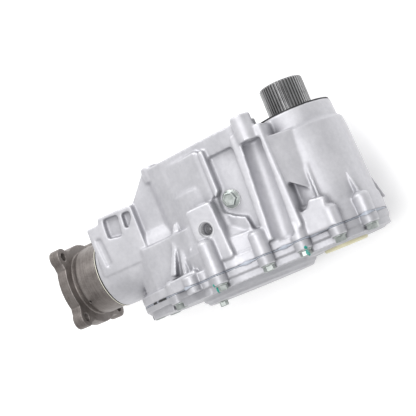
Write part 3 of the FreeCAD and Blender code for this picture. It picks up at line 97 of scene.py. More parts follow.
camera_data = bpy.data.cameras.new("camera")
camera_data.lens = LENS_MM
camera_data.sensor_width = SENSOR_WIDTH_MM
camera_data.clip_end = FARTHEST
camera = bpy.data.objects.new("camera", camera_data)
bpy.context.scene.collection.objects.link(camera)
camera_back = CAMERA_RIGHT.cross(CAMERA_UP).normalized()
camera_turn = Matrix((CAMERA_RIGHT, CAMERA_UP, camera_back)).transposed().to_4x4()
camera.matrix_world = Matrix.Translation(CAMERA_PLACE) @ camera_turn
bpy.context.scene.camera = camera
bpy.context.scene.view_settings.view_transform = "Standard"
print("camera looks along", tuple(round(-c, 3) for c in camera_back))

# %% [markdown]
# A white light table lifts the underside of the casting, and keeps the shadow faint. Two large soft
# lamps give the casting its form: the key comes from beyond the transaxle face, and the fill from
# beside the camera, so that the round input housing turns gently into shade. The world is a plain
# white that fills what they leave.

# %% Floor and lights
FLOOR_SIZE = 40.0


def add_object(name, mesh):
    """A new object that shows a mesh, with nothing parented or moved."""
    thing = bpy.data.objects.new(name, mesh)
    bpy.context.scene.collection.objects.link(thing)
    return thing


def mesh_from(name, form):
    """Ends a bmesh as a mesh."""
    mesh = bpy.data.meshes.new(name)
    form.to_mesh(mesh)
    form.free()
    return mesh


floor_form = bmesh.new()
bmesh.ops.create_grid(floor_form, x_segments=1, y_segments=1, size=FLOOR_SIZE / 2)
bmesh.ops.translate(floor_form, verts=floor_form.verts, vec=(cad_low.x, 0, cad_low.z))
floor = add_object("floor", mesh_from("floor", floor_form))
floor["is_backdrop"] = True


def soft_light(name, place, target, size, watts):
    """A square lamp that faces its target."""
    lamp = bpy.data.lights.new(name, "AREA")
    lamp.size = size
    lamp.energy = watts
    holder = bpy.data.objects.new(name, lamp)
    bpy.context.scene.collection.objects.link(holder)
    aim = (Vector(target) - Vector(place)).to_track_quat("-Z", "Y")
    holder.matrix_world = Matrix.Translation(place) @ aim.to_matrix().to_4x4()


WORLD_STRENGTH = 0.60
middle = (cad_low + cad_high) / 2
soft_light("key_light", (-0.35, 1.05, 0.85), middle, size=0.7, watts=9.5)
soft_light("fill_light", (0.05, -0.05, 1.00), middle, size=0.5, watts=5.0)
world = bpy.data.worlds.new("studio")
bpy.context.scene.world = world
world.use_nodes = True
backdrop = world.node_tree.nodes["Background"]
backdrop.inputs["Color"].default_value = (1.0, 1.0, 1.0, 1.0)
backdrop.inputs["Strength"].default_value = WORLD_STRENGTH
print("floor at", round(cad_low.z, 4), "m")

# %% [markdown]
# ## Writing materials as arithmetic
#
# A shader's maths is easier to read as `1 - mask * 0.4` than as a dozen linked boxes. The small
# class below wraps one socket and adds a Math node for every operator. Any other node comes from
# `Look.add`, which takes the node's type, its settings and what goes into its sockets.


# %% A socket that can be used in sums
class Value:
    """One output of a shader node. Arithmetic on it adds Math nodes."""

    def __init__(self, look, socket):
        self.look = look
        self.socket = socket

    def maths(self, operation, first, second):
        return self.look.add("ShaderNodeMath", {"operation": operation}, {0: first, 1: second})

    def __add__(self, other):
        return self.maths("ADD", self, other)

    def __radd__(self, other):
        return self.maths("ADD", other, self)

    def __sub__(self, other):
        return self.maths("SUBTRACT", self, other)

    def __rsub__(self, other):
        return self.maths("SUBTRACT", other, self)

    def __mul__(self, other):
        return self.maths("MULTIPLY", self, other)

    def __rmul__(self, other):
        return self.maths("MULTIPLY", other, self)


class Look:
    """A material with one Principled shader, built up node by node."""

    def __init__(self, name):
        self.material = bpy.data.materials.new(name)
        self.material.use_nodes = True
        self.tree = self.material.node_tree
        self.shader = self.tree.nodes["Principled BSDF"]

    def add(self, kind, settings, inputs, output=0):
        """Any node: its settings come first, then the values or links of its sockets."""
        node = self.tree.nodes.new(kind)
        for name, value in settings.items():
            if name == "stops":
                ramp = node.color_ramp.elements
                while len(ramp) < len(value):
                    ramp.new(1.0)
                for stop, (place, colour) in zip(ramp, value):
                    stop.position = place
                    stop.color = (*colour, 1.0)
            else:
                setattr(node, name, value)
        self.fill(node, inputs)
        return Value(self, node.outputs[output])

    def fill(self, node, inputs):
        for key, value in inputs.items():
            if isinstance(value, Value):
                self.tree.links.new(value.socket, node.inputs[key])
            else:
                node.inputs[key].default_value = value

    def place(self):
        """Where a point is on the object, in metres."""
        return self.add("ShaderNodeTexCoord", {}, {}, "Object")

    def noise(self, scale, detail=2.0, roughness=0.5, stretch=(1, 1, 1)):
        """Cloudy noise from 0 to 1, with scale in cells per metre."""
        where = self.add("ShaderNodeMapping", {}, {"Vector": self.place(), "Scale": stretch})
        return self.add("ShaderNodeTexNoise", {}, {
            "Vector": where, "Scale": scale, "Detail": detail, "Roughness": roughness})

    def between(self, value, low, high, to_low=0.0, to_high=1.0):
        """Value's stretch from low to high, as to_low to to_high."""
        return self.add("ShaderNodeMapRange", {"clamp": True}, {
            "Value": value, "From Min": low, "From Max": high, "To Min": to_low, "To Max": to_high})

    def mix(self, share, first, second):
        """A colour between two colours."""
        return self.add("ShaderNodeMix", {"data_type": "RGBA"}, {0: share, 6: first, 7: second}, 2)

    def corners(self, reach):
        """0 in the open to 1 deep in a corner or a recess that is about as wide as the reach."""
        return 1 - self.add("ShaderNodeAmbientOcclusion", {"samples": 8}, {"Distance": reach}, "AO")

    def edges(self, low, high):
        """0 on flat and hollow places to 1 on raised edges."""
        return self.between(self.add("ShaderNodeNewGeometry", {}, {}, "Pointiness"), low, high)

    def relief(self, height, depth):
        """Bumps of a depth in metres."""
        return self.add("ShaderNodeBump", {}, {"Height": height, "Distance": depth, "Strength": 1.0})

    def finish(self, **sockets):
        """Sets or links the Principled shader's sockets, with _ for a space."""
        self.fill(self.shader, {name.replace("_", " "): value for name, value in sockets.items()})
        return self.material


def rgb(red, green, blue):
    return (red, green, blue, 1.0)


def dress(thing, material):
    """Gives a piece one material."""
    thing.data.materials.clear()
    thing.data.materials.append(material)


print("material tools ready")

# %% [markdown]
# ## The casting's metal
#
# The case is high-pressure die cast aluminium. It leaves the die smooth, and is then blasted with
# fine shot, which leaves a pale, matt, slightly lavender grey with a fine even grain. Large soft
# patches differ a little in tone where the metal cooled at different speeds. Raised edges are lighter,
# partly as wear from handling and partly as a painted highlight. Hollows are greyer, partly with dust
# and partly with painted shade, and deep corners are darkened further with painted shade. The metal
# is drawn as only partly metallic: blasted aluminium scatters light almost like chalk.

# %% Blasted aluminium
# How far the painted shade in corners reaches.
SHADE_REACH = 20.0 * MM
GRAIN_DEPTH = 0.14 * MM
# Light grey for raised edges: rubbed wear and a painted highlight.
RUBBED_AND_HIGHLIGHT = rgb(0.85, 0.85, 0.88)
# Grey for hollows: partly dust, partly painted shade.
DUST_AND_SHADE_GREY = rgb(0.30, 0.30, 0.33)
# The painted shade deep in corners.
PAINTED_CORNER_SHADE = rgb(0.20, 0.20, 0.22)


def blasted_aluminium(name, light, dark):
    look = Look(name)
    patches = look.between(look.noise(22.0, 4.0, 0.6), 0.32, 0.70)
    streaks = look.between(look.noise(60.0, 3.0, 0.6, (1.0, 0.25, 1.0)), 0.35, 0.75)
    mottle = look.between(look.noise(190.0, 4.0, 0.65), 0.35, 0.68)
    # Raised edges: partly rubbed wear, partly a painted highlight.
    worn = look.edges(0.515, 0.56)
    # Hollows: partly grey dust, partly painted shade.
    hollow = look.edges(0.49, 0.44)
    tone = look.mix(patches * 0.45 + streaks * 0.25 + mottle * 0.30, dark, light)
    tone = look.mix(worn * 0.45, tone, RUBBED_AND_HIGHLIGHT)
    tone = look.mix(hollow * 0.5, tone, DUST_AND_SHADE_GREY)
    # Painted shade: darker deep in corners and recesses.
    tone = look.mix(look.between(look.corners(SHADE_REACH), 0.08, 0.75, 0.0, 0.85), tone, PAINTED_CORNER_SHADE)
    grain = look.noise(2600.0, 2.0, 0.6)
    pits = look.between(look.noise(700.0, 1.0, 0.5), 0.62, 0.78)
    relief = look.relief(grain * 0.6 + patches * 0.2 - pits * 0.5, GRAIN_DEPTH)
    roughness = look.between(patches, 0, 1, 0.42, 0.54)
    return look.finish(Base_Color=tone, Metallic=0.45, Roughness=roughness, Normal=relief)


case_metal = blasted_aluminium("blasted_aluminium", rgb(0.635, 0.63, 0.66), rgb(0.46, 0.46, 0.488))
# The same metal, darker all over: painted shade on the cover, which faces away from the key light.
shaded_cover_metal = blasted_aluminium("shaded_cover_aluminium", rgb(0.53, 0.53, 0.555), rgb(0.38, 0.38, 0.405))
print("made", case_metal.name, "and", shaded_cover_metal.name)

# %% [markdown]
# ## From a CAD solid to a casting
#
# A CAD solid has knife-sharp corners. A casting can't have any: the die would chip and the metal
# would not fill them. Every inside corner has a fillet, and every outside corner a small round.
# Rounding hundreds of edges one by one is fragile, so the copy is rebuilt from small voxels, which
# joins all its faces in one skin, and then smoothed. The smoothing eats the corners and leaves the
# flat faces flat. A copy with too many triangles is then thinned. The CAD mesh comes as loose
# triangles, so the copy's doubles are merged first.

# %% Rounding a copy of a CAD piece
MOST_TRIANGLES = 190000


def settle(thing):
    """Gives a piece the mesh that its modifiers make, and takes them off."""
    mesh = bpy.data.meshes.new_from_object(thing.evaluated_get(bpy.context.evaluated_depsgraph_get()))
    thing.modifiers.clear()
    thing.data = mesh


def softened(node_name, name, voxel, rounds, drill=None):
    """A copy of a CAD piece with every corner rounded, and drilled if asked, which then stands for it."""
    form = bmesh.new()
    form.from_mesh(nodes[node_name].data)
    bmesh.ops.remove_doubles(form, verts=form.verts, dist=1e-6)
    thing = add_object(name, mesh_from(name, form))
    if drill:
        thing.modifiers.new("drill", "BOOLEAN").object = drill
    remesh = thing.modifiers.new("skin", "REMESH")
    remesh.mode = "VOXEL"
    remesh.voxel_size = voxel
    smooth = thing.modifiers.new("rounding", "SMOOTH")
    smooth.factor = 0.5
    smooth.iterations = rounds
    settle(thing)
    triangles = sum(len(face.vertices) - 2 for face in thing.data.polygons)
    if triangles > MOST_TRIANGLES:
        thing.modifiers.new("thinner", "DECIMATE").ratio = MOST_TRIANGLES / triangles
        settle(thing)
    thing.data.polygons.foreach_set("use_smooth", [True] * len(thing.data.polygons))
    thing.data.name = name
    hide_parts(node_name)
    print(name, "has", len(thing.data.polygons), "faces, from", triangles)
    return thing


case_casting = softened("main_case", "case_casting", 1.5 * MM, 8)
dress(case_casting, case_metal)
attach(case_casting, "case")

cover_casting = softened("side_cover", "cover_casting", 1.2 * MM, 5)
dress(cover_casting, shaded_cover_metal)
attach(cover_casting, "case")

# %% [markdown]
# ## Steel, rubber, plastic and plating
#
# The output flange is a forging that is turned and then phosphated, which turns it a warm brown
# grey. The splined shaft is hardened and ground, and oiled, so it is a darker and cooler grey.
# Bolts and plugs are zinc plated, with the faint green blue cast of a clear passivate.

# %% Metals
TOOTH_GAP = 2.5 * MM
# Black for narrow gaps: partly oil, partly painted shade.
OIL_AND_SHADE_BLACK = rgb(0.03, 0.03, 0.03)


def phosphated_steel():
    look = Look("phosphated_steel")
    blotches = look.between(look.noise(70.0, 5.0, 0.65), 0.35, 0.70)
    speckle = look.between(look.noise(900.0, 2.0, 0.5), 0.45, 0.75)
    turned = look.between(look.noise(420.0, 3.0, 0.6, (1.0, 0.04, 0.04)), 0.35, 0.70)
    worn = look.edges(0.52, 0.60)
    tone = look.mix(blotches * 0.6 + turned * 0.4, rgb(0.135, 0.117, 0.108), rgb(0.292, 0.265, 0.250))
    tone = look.mix(speckle * 0.35, tone, rgb(0.37, 0.35, 0.34))
    tone = look.mix(worn * 0.6, tone, rgb(0.46, 0.44, 0.43))
    relief = look.relief(look.noise(1500.0, 3.0, 0.6) * 0.6 + blotches * 0.4, 0.10 * MM)
    roughness = look.between(speckle, 0, 1, 0.42, 0.58)
    return look.finish(Base_Color=tone, Metallic=0.75, Roughness=roughness, Normal=relief)


def ground_steel(name, light, dark, metallic, roughness, oil_and_shade=0.0, gap=TOOTH_GAP):
    """Ground or turned metal. Where asked, its gaps of a width are darkened, partly as oil and partly as
    painted shade.
    """
    look = Look(name)
    lines = look.noise(1200.0, 2.0, 0.5, (1.0, 0.05, 1.0))
    film = look.between(look.noise(45.0, 3.0, 0.6), 0.35, 0.7)
    tone = look.mix(film * 0.7 + lines * 0.3, dark, light)
    if oil_and_shade:
        # Partly oil, partly painted shade: gaps darkened towards black.
        tone = look.mix(look.between(look.corners(gap), 0.1, 0.6, 0.0, oil_and_shade), tone, OIL_AND_SHADE_BLACK)
    relief = look.relief(lines, 0.03 * MM)
    spread = look.between(film, 0, 1, roughness, roughness + 0.12)
    return look.finish(Base_Color=tone, Metallic=metallic, Roughness=spread, Normal=relief)


def zinc_plate():
    look = Look("zinc_plate")
    cloud = look.between(look.noise(160.0, 3.0, 0.6), 0.35, 0.7)
    tone = look.mix(cloud, rgb(0.33, 0.36, 0.345), rgb(0.52, 0.55, 0.535))
    relief = look.relief(look.noise(1800.0, 2.0, 0.5), 0.04 * MM)
    roughness = look.between(cloud, 0, 1, 0.38, 0.50)
    return look.finish(Base_Color=tone, Metallic=0.7, Roughness=roughness, Normal=relief)


flange_steel = phosphated_steel()
# The spline's tooth gaps go near to black, partly as oil and partly as painted shade.
shaft_steel = ground_steel("oiled_shaft_steel", rgb(0.44, 0.44, 0.445), rgb(0.28, 0.28, 0.285),
                           metallic=0.95, roughness=0.26, oil_and_shade=0.95)
gear_steel = ground_steel("gear_steel", rgb(0.48, 0.48, 0.50), rgb(0.36, 0.36, 0.38),
                          metallic=0.95, roughness=0.25)
bearing_steel = ground_steel("bearing_steel", rgb(0.66, 0.66, 0.68), rgb(0.54, 0.54, 0.56),
                             metallic=1.0, roughness=0.16)
zinc = zinc_plate()
print("metals:", flange_steel.name, shaft_steel.name, zinc.name)

# %% Rubber, plastic, sealant and paint
TABLE_GLOW = 0.28


def moulded(name, light, dark, scale, roughness, depth):
    """A plain moulded or cured finish with a faint cloud and grain."""
    look = Look(name)
    cloud = look.between(look.noise(scale, 3.0, 0.6), 0.3, 0.7)
    tone = look.mix(cloud, dark, light)
    relief = look.relief(look.noise(scale * 12, 2.0, 0.5), depth)
    spread = look.between(cloud, 0, 1, roughness, roughness + 0.1)
    return look.finish(Base_Color=tone, Roughness=spread, Normal=relief)


black_rubber = moulded("black_rubber", rgb(0.030, 0.030, 0.032), rgb(0.016, 0.016, 0.018),
                       scale=120.0, roughness=0.45, depth=0.04 * MM)
cream_plastic = moulded("cream_plastic", rgb(0.76, 0.72, 0.50), rgb(0.68, 0.64, 0.43),
                        scale=60.0, roughness=0.40, depth=0.03 * MM)
pale_rubber = moulded("pale_seal_ring", rgb(0.84, 0.81, 0.70), rgb(0.76, 0.73, 0.62),
                      scale=150.0, roughness=0.5, depth=0.03 * MM)
sealant_blue = moulded("cured_sealant", rgb(0.44, 0.47, 0.53), rgb(0.33, 0.36, 0.42),
                       scale=90.0, roughness=0.28, depth=0.05 * MM)
mark_paint = moulded("mark_paint", rgb(0.00, 0.31, 0.25), rgb(0.00, 0.22, 0.18),
                     scale=300.0, roughness=0.30, depth=0.05 * MM)
# Inside the sensor hole the thread and floor are darkened, partly as oil and partly as painted shade.
cut_aluminium = ground_steel("cut_aluminium", rgb(0.62, 0.62, 0.64), rgb(0.50, 0.50, 0.52),
                             metallic=0.5, roughness=0.45, oil_and_shade=0.5, gap=9.0 * MM)
soft_washer = ground_steel("soft_aluminium", rgb(0.82, 0.82, 0.82), rgb(0.72, 0.72, 0.72),
                           metallic=0.9, roughness=0.3)
light_table = moulded("light_table", rgb(0.95, 0.95, 0.95), rgb(0.94, 0.94, 0.94),
                      scale=3.0, roughness=0.8, depth=0.0)
table_shader = light_table.node_tree.nodes["Principled BSDF"]
table_shader.inputs["Emission Color"].default_value = rgb(1.0, 1.0, 1.0)
table_shader.inputs["Emission Strength"].default_value = TABLE_GLOW
dress(floor, light_table)

# %% Finish every CAD piece that shows as it is
FINISH = {
    "flange_steel": flange_steel,
    "shaft_steel": shaft_steel,
    "gear_steel": gear_steel,
    "bearing_steel": bearing_steel,
    "zinc_steel": zinc,
    "black_rubber": black_rubber,
    "cream_plastic": cream_plastic,
    "sealant": sealant_blue,
    "washer_aluminium": soft_washer,
    "cast_aluminium": case_metal,
}
for entry in frame["record"]["subparts"]:
    dress(nodes[entry["node"]], FINISH[entry["material_slot"]])
dress(nodes["nose_dust_ring"], pale_rubber)     # a little paler than the caps

# %% [markdown]
# ## The output flange
#
# The flange is a drum with four ears, forged and then turned. Forging leaves generous rounds where
# the ears meet the rim, so it gets the same treatment as the castings, with finer voxels. A thin
# cylinder, taken away by a Boolean modifier, drills the small hole in the drum.


# %% Output flange
def mount(name):
    """One named mount of the CAD record."""
    return next(entry for entry in frame["record"]["mounts"] if entry["name"] == name)


axle_y = mount("flange_bolts")["pos_m"][1]
DRUM_HOLE_X = -349.0 * MM
DRUM_HOLE_R = 2.0 * MM
DRUM_HOLE_TURN = math.radians(-34.0)        # from +Z, about the axle
DRILL_LENGTH = 30.0 * MM
DRILL_REACH = 45.0 * MM                     # from the axle to the drill's middle
drill_form = bmesh.new()
bmesh.ops.create_cone(drill_form, cap_ends=True, segments=24, radius1=DRUM_HOLE_R, radius2=DRUM_HOLE_R,
                      depth=DRILL_LENGTH)
bmesh.ops.translate(drill_form, verts=drill_form.verts, vec=(0, 0, DRILL_REACH))
bmesh.ops.rotate(drill_form, verts=drill_form.verts, cent=(0, 0, 0),
                 matrix=Matrix.Rotation(-DRUM_HOLE_TURN, 3, "X"))
bmesh.ops.translate(drill_form, verts=drill_form.verts, vec=(DRUM_HOLE_X, axle_y, 0))
drill = add_object("drill", mesh_from("drill", drill_form))
flange = softened("output_flange", "flange_forging", 0.9 * MM, 3, drill)
bpy.data.objects.remove(drill)
dress(flange, flange_steel)
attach(flange, "output")

# %% [markdown]
# ## Bolts
#
# The cover is held by thirteen flanged hexagon bolts. Each head is a hexagon with chamfered corners
# and a shallow dish in its top, on a washer face that slopes outwards. One head is modelled at the
# origin and copied to every bolt of the CAD node: the bolts are found there by looking for the
# separate islands of the node's mesh.


# %% Islands of a CAD node
def islands(node_name):
    """The (lowest, highest) corners of each separate solid in a CAD node."""
    form = bmesh.new()
    form.from_mesh(nodes[node_name].data)
    bmesh.ops.remove_doubles(form, verts=form.verts, dist=1e-6)
    left = set(form.verts)
    found = []
    while left:
        island = {left.pop()}
        edge = list(island)
        while edge:
            vert = edge.pop()
            for link in vert.link_edges:
                other = link.other_vert(vert)
                if other in left:
                    left.remove(other)
                    island.add(other)
                    edge.append(other)
        corners = [v.co for v in island]
        found.append((Vector(map(min, zip(*corners))), Vector(map(max, zip(*corners)))))
    form.free()
    return sorted(found, key=lambda box: tuple(box[0]))


cover_bolt_boxes = islands("cover_bolts")
print("cover bolts:", len(cover_bolt_boxes))

# %% One flanged hexagon head
BOLT_FLATS = 13.0 * MM
BOLT_HEAD = 6.5 * MM
BOLT_FLANGE_R = 8.8 * MM
BOLT_FLANGE = 1.6 * MM
BOLT_R = 4.0 * MM
BOLT_GRIP = 26.0 * MM
WASHER_EDGE = 0.2 * MM
CHAMFER = 0.9 * MM
DISH_RIM = 1.2 * MM
DISH_SLOPE = 0.8 * MM
DISH_DEPTH = 0.7 * MM


def lathe(form, profile, segments=48):
    """Spins a closed (radius, z) outline round the Z axis."""
    verts = [form.verts.new((r, 0, z)) for r, z in profile]
    edges = [form.edges.new((verts[i], verts[(i + 1) % len(verts)])) for i in range(len(verts))]
    bmesh.ops.spin(form, geom=verts + edges, cent=(0, 0, 0), axis=(0, 0, 1), angle=math.tau, steps=segments,
                   use_merge=True, use_duplicate=False)
    bmesh.ops.remove_doubles(form, verts=form.verts, dist=1e-7)


def hexagon_head(flats, height, flange_r, flange_height, thread_r, reach):
    """A flanged hexagon head that stands on z = 0, with a plain shank below it."""
    form = bmesh.new()
    lathe(form, [(0, -reach), (thread_r * 0.85, -reach), (thread_r, -reach + 0.15 * thread_r),
                 (thread_r, 0), (flange_r - WASHER_EDGE, 0), (flange_r, WASHER_EDGE),
                 (flange_r, 0.45 * flange_height), (flats * 0.58, flange_height),
                 (flats * 0.50, flange_height * 1.3), (0, flange_height * 1.3)], 36)
    corner = flats / 2 / math.cos(math.pi / 6)
    head = bmesh.ops.create_cone(form, cap_ends=True, segments=6, radius1=corner, radius2=corner,
                                 depth=height)["verts"]
    bmesh.ops.translate(form, verts=head, vec=(0, 0, flange_height + height / 2))
    top = [f for f in form.faces if len(f.verts) == 6 and f.normal.z > 0.9]
    bmesh.ops.bevel(form, geom=list({e for f in top for e in f.edges}), offset=CHAMFER, segments=2,
                    profile=0.5, affect="EDGES", material=-1)
    nearly_top = flange_height + height * 0.9
    top = [f for f in form.faces
           if f.normal.z > 0.99 and f.calc_center_median().z > nearly_top and len(f.verts) >= 6]
    bmesh.ops.inset_region(form, faces=top, thickness=DISH_RIM, depth=0.0)
    bmesh.ops.inset_region(form, faces=top, thickness=DISH_SLOPE, depth=-DISH_DEPTH)
    bmesh.ops.recalc_face_normals(form, faces=form.faces)
    return mesh_from("head", form)


def many(name, pattern, places):
    """One mesh with the pattern copied to each (place, rotation)."""
    form = bmesh.new()
    for place, turn in places:
        before = len(form.verts)
        form.from_mesh(pattern)
        form.verts.ensure_lookup_table()
        bmesh.ops.transform(form, matrix=Matrix.Translation(place) @ turn, verts=form.verts[before:])
    return add_object(name, mesh_from(name, form))


DOWN = Matrix.Rotation(math.pi / 2, 4, "X")     # turns +Z to -Y
TURN_STEP = 0.61                                # each bolt stops at another angle
head_mesh = hexagon_head(BOLT_FLATS, BOLT_HEAD, BOLT_FLANGE_R, BOLT_FLANGE, BOLT_R, BOLT_GRIP)
bolt_places = []
for index, (low, high) in enumerate(cover_bolt_boxes):
    centre = (low + high) / 2
    seat = Vector((centre.x, high.y - BOLT_GRIP, centre.z))
    bolt_places.append((seat, DOWN @ Matrix.Rotation(index * TURN_STEP, 4, "Z")))
cover_bolts = many("flanged_bolts", head_mesh, bolt_places)
dress(cover_bolts, zinc)
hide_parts("cover_bolts")
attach(cover_bolts, "case")
print("bolt faces:", len(cover_bolts.data.polygons))

# %% [markdown]
# ## Plugs
#
# The filler plug on top and the drain plug below are the same kind of flanged hexagon, made by the
# same function in their own sizes.

# %% Filler and drain plugs
PLUG_HEAD = 6.0 * MM
PLUG_LIP = 3.5 * MM             # of the flange, beyond the thread
PLUG_FLANGE = 2.4 * MM
PLUG_TURN = Matrix.Rotation(0.35, 4, "Z")


def plug(name, node_name, thread_r, axis_turn, axis, reach):
    """A screw plug in place of its CAD node."""
    low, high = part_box(node_name)
    centre = (low + high) / 2
    ends = (low.dot(axis), high.dot(axis))
    seat = centre + axis * (min(ends) + reach - centre.dot(axis))
    pattern = hexagon_head(2 * thread_r, PLUG_HEAD, thread_r + PLUG_LIP, PLUG_FLANGE, thread_r, reach)
    made = many(name, pattern, [(seat, axis_turn @ PLUG_TURN)])
    dress(made, zinc)
    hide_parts(node_name)
    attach(made, "case")


plug("filler_plug_hexagon", "filler_plug", 8.0 * MM, Matrix.Identity(4), Vector((0, 0, 1)), 9.0 * MM)
plug("drain_plug_hexagon", "drain_plug", 5.0 * MM, DOWN, Vector((0, -1, 0)), 8.0 * MM)

# %% [markdown]
# ## Sealant
#
# The two castings are sealed with a bead of liquid gasket. When the bolts are tightened, some of it
# is squeezed out all round the joint, in a thin blue grey lip with a thicker blob here and there.
# The CAD layer is copied, its long edges are cut short, and each point is pushed out along its
# normal by an amount that wanders with a noise, but never past the limits of the CAD model.

# %% Squeezed sealant
LIP = 0.05 * MM
BLOB = 2.2 * MM
BLOB_REACH = 6.0 * MM
BLOBS = [x * MM for x in (-182.0, -97.0, -48.0, 55.0)]      # on the upper side, where the bead is thick
LONGEST_EDGE = 4.0 * MM
CUTTING_ROUNDS = 5
SWELL_SCALE = 38.0              # noise cells per metre, as the next is
FINE_SCALE = 160.0
SWELL_SHIFT = Vector((3.1, 0.7, 5.2))
SWELL_FROM = 0.25               # noise below this leaves no swelling
SWELL_GAIN = 1.5
LIP_WANDER = 0.5


def squeezed():
    form = bmesh.new()
    form.from_mesh(nodes["sealant_bead"].data)
    bmesh.ops.remove_doubles(form, verts=form.verts, dist=1e-6)
    for _ in range(CUTTING_ROUNDS):
        long_edges = [e for e in form.edges if e.calc_length() > LONGEST_EDGE]
        if not long_edges:
            break
        bmesh.ops.subdivide_edges(form, edges=long_edges, cuts=1)
        bmesh.ops.triangulate(form, faces=[f for f in form.faces if len(f.verts) > 3])
    form.normal_update()
    for vert in form.verts:
        swell = noise.noise(vert.co * SWELL_SCALE + SWELL_SHIFT)
        fine = noise.noise(vert.co * FINE_SCALE)
        thick = 0.0
        if vert.co.z > 0:
            thick = sum(math.exp(-((vert.co.x - x) / BLOB_REACH) ** 2) for x in BLOBS)
        swollen = max(0.0, swell - SWELL_FROM) * SWELL_GAIN
        amount = LIP * (1.0 + LIP_WANDER * fine) + BLOB * (swollen + thick)
        pushed = vert.co + vert.normal * amount
        vert.co = [min(max(c, low), high) for c, low, high in zip(pushed, cad_low, cad_high)]
    return mesh_from("squeezed_sealant", form)


sealant = add_object("squeezed_sealant", squeezed())
dress(sealant, sealant_blue)
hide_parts("sealant_bead")
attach(sealant, "case")
print("sealant faces:", len(sealant.data.polygons))

# %% [markdown]
# ## Paint marks, and the painted shadows of the pry slots
#
# A fitter who has set a bolt to its torque draws a stroke of green paint over its head and the
# casting beside it. If the bolt ever turns, the stroke breaks. Each mark is two small blots. A blot
# starts as a sphere, is made flat and ragged, and is dropped on what lies below it with a ray, so
# that it follows the step from the head to the casting. At the far end of the joint the castings
# have two short pry slots, where a lever parts them. The dark inside of each slot is painted shadow:
# a black strip laid on the joint in the same way.


# %% What lies below a point
def search_tree(things):
    """The faces of some pieces, to drop rays on."""
    form = bmesh.new()
    for thing in things:
        form.from_mesh(thing.data)
    tree = BVHTree.FromBMesh(form)
    form.free()
    return tree


SKY = 1.0
JOINT_Y = -0.4 * MM             # the middle of the sealant
surface = search_tree([case_casting, cover_casting, cover_bolts, sealant])
joint_edge = search_tree([nodes["sealant_bead"]])


def drop(tree, x, y):
    """The height of the first face below (x, y)."""
    return tree.ray_cast(Vector((x, y, SKY)), Vector((0, 0, -1)))[0].z


# %% Paint marks
# Each marked bolt's x, and how far to its side the stroke lies.
MARKED_BOLTS = {-135.0 * MM: -5.0 * MM, -25.0 * MM: 4.2 * MM}
# Each blot's share of that, its place along Y, half its width, half its length and its noise's seed.
BLOTS = ((1.0, -5.0 * MM, 2.0 * MM, 4.0 * MM, 1.3), (1.25, 1.5 * MM, 1.7 * MM, 2.3 * MM, 4.1))
BLOT_DEPTH = 0.4 * MM
OVERHANG = 1.6 * MM
RAGGEDNESS = 0.5
RAG_SCALE = 1.6


def blot(form, x, y, half_x, half_y, seed):
    """A ragged flat drop of paint, which runs over an edge by its overhang at most."""
    lowest = drop(surface, x, y) - OVERHANG
    for vert in bmesh.ops.create_icosphere(form, subdivisions=3, radius=1.0)["verts"]:
        u, v, w = vert.co
        ragged = 1.0 + RAGGEDNESS * noise.noise(Vector((u * RAG_SCALE, v * RAG_SCALE, seed)))
        px, py = x + u * half_x * ragged, y + v * half_y * ragged
        vert.co = (px, py, max(lowest, drop(surface, px, py)) + w * BLOT_DEPTH)


marks_form = bmesh.new()
for mark_x, aside in MARKED_BOLTS.items():
    seat = min((place for place, _ in bolt_places if place.z > 0), key=lambda place: abs(place.x - mark_x))
    for share, along, half_x, half_y, seed in BLOTS:
        blot(marks_form, seat.x + aside * share, seat.y + along, half_x, half_y, seed + aside)
marks = add_object("torque_marks", mesh_from("torque_marks", marks_form))
marks.data.polygons.foreach_set("use_smooth", [True] * len(marks.data.polygons))
dress(marks, mark_paint)
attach(marks, "case")
print("paint marks:", len(marks.data.polygons), "faces")

# %% Painted shadows of the pry slots
PRY_SLOTS = ((-253.0 * MM, -245.5 * MM), (-240.5 * MM, -226.0 * MM))
SLOT_HALF = 1.1 * MM
SLOT_STEPS = 10
SLOT_TOP = 0.5 * MM
SLOT_DEPTH = 0.8 * MM
SLOT_LIFT = 0.55 * MM           # over the edge of the joint
slot_shadow_form = bmesh.new()
for start, stop in PRY_SLOTS:
    made = bmesh.ops.create_grid(slot_shadow_form, x_segments=SLOT_STEPS, y_segments=1, size=1.0)["verts"]
    for vert in made:
        x = start + (stop - start) * (vert.co.x + 1) / 2
        vert.co = (x, -SLOT_HALF * (1 - vert.co.y) + SLOT_TOP, drop(joint_edge, x, JOINT_Y) + SLOT_LIFT)
bmesh.ops.recalc_face_normals(slot_shadow_form, faces=slot_shadow_form.faces)
bmesh.ops.solidify(slot_shadow_form, geom=slot_shadow_form.faces[:], thickness=SLOT_DEPTH)
pry_slot_shadows = add_object("pry_slot_shadows", mesh_from("pry_slot_shadows", slot_shadow_form))
# Black as painted shadow of the slot, using the rubber's material.
dress(pry_slot_shadows, black_rubber)
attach(pry_slot_shadows, "case")
print("pry slots:", len(PRY_SLOTS))

# %% [markdown]
# ## The sensor port
#
# The round hole in the pad takes a screwed sensor, which seals on a spot face that is cut round the
# hole. Its thread is a ridge that climbs the wall. A small triangle is spun round the hole's axis,
# and the spin moves it along by a little at each step, so that it sweeps a true helix. The drill
# leaves rings on the hole's floor. The spot face and the floor are turned shapes, so both are spun
# outlines.

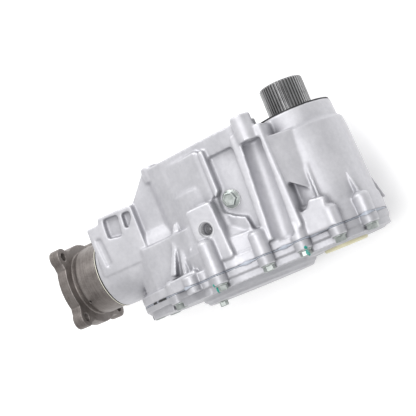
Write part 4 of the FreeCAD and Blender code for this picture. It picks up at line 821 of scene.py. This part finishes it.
# %% Spot face, thread and floor
port = mount("sensor_port")
port_x, port_y = port["pos_m"][:2]
hole_r = port["dims"]["r_mm"] * MM
SPOT_FACE = 3.2 * MM
COUNTERSINK = 0.9 * MM
COUNTERSINK_DEPTH = 1.2 * MM
SPOT_DEPTH = 2.0 * MM
PROUD = 0.08 * MM
THREAD_PITCH = 1.5 * MM
THREAD_TURNS = 8
THREAD_STEPS = 40
THREAD_DEPTH = 0.7 * MM
BURIED = 0.4 * MM
FLOOR_RINGS = 9
FLOOR_RING_HEIGHT = 1.3 * MM
FLOOR_LIFT = 0.1 * MM
PAD_PROBE = 1.6                 # hole radii from its axis to a point on the flat pad
THREAD_START = 1.6              # pitches below the pad
pad_height = drop(surface, port_x, port_y + PAD_PROBE * hole_r)
hole_floor = drop(surface, port_x, port_y) - pad_height

thread_form = bmesh.new()
corners = ((hole_r + BURIED, 0, 0), (hole_r - THREAD_DEPTH, 0, THREAD_PITCH / 2),
           (hole_r + BURIED, 0, THREAD_PITCH))
ridge = [thread_form.verts.new(corner) for corner in corners]
section = thread_form.faces.new(ridge)
bmesh.ops.spin(thread_form, geom=[section, *section.edges, *ridge], cent=(0, 0, 0), axis=(0, 0, 1),
               dvec=(0, 0, -THREAD_PITCH / THREAD_STEPS), angle=math.tau * THREAD_TURNS,
               steps=THREAD_STEPS * THREAD_TURNS)
bmesh.ops.translate(thread_form, verts=thread_form.verts, vec=(0, 0, -THREAD_START * THREAD_PITCH))
lathe(thread_form, [(hole_r + COUNTERSINK, PROUD), (hole_r + SPOT_FACE, PROUD),
                    (hole_r + SPOT_FACE, -SPOT_DEPTH), (hole_r, -SPOT_DEPTH), (hole_r, -COUNTERSINK_DEPTH)])
rings = [(hole_r * (1 - k / FLOOR_RINGS), hole_floor + FLOOR_LIFT + FLOOR_RING_HEIGHT * (k % 2))
         for k in range(FLOOR_RINGS)]
lathe(thread_form, rings + [(0, rings[-1][1]), (0, hole_floor - BURIED), (hole_r, hole_floor - BURIED)])
bmesh.ops.translate(thread_form, verts=thread_form.verts, vec=(port_x, port_y, pad_height))
bmesh.ops.recalc_face_normals(thread_form, faces=thread_form.faces)
thread = add_object("sensor_thread", mesh_from("sensor_thread", thread_form))
dress(thread, cut_aluminium)
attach(thread, "case")
print("sensor port: face at", round(pad_height, 4), "and floor", round(hole_floor, 4), "below")

# %% Print the CAD box and the visual box
low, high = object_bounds()
print("CAD box", [round(c, 4) for c in cad_high - cad_low], "visual box", [round(c, 4) for c in high - low])
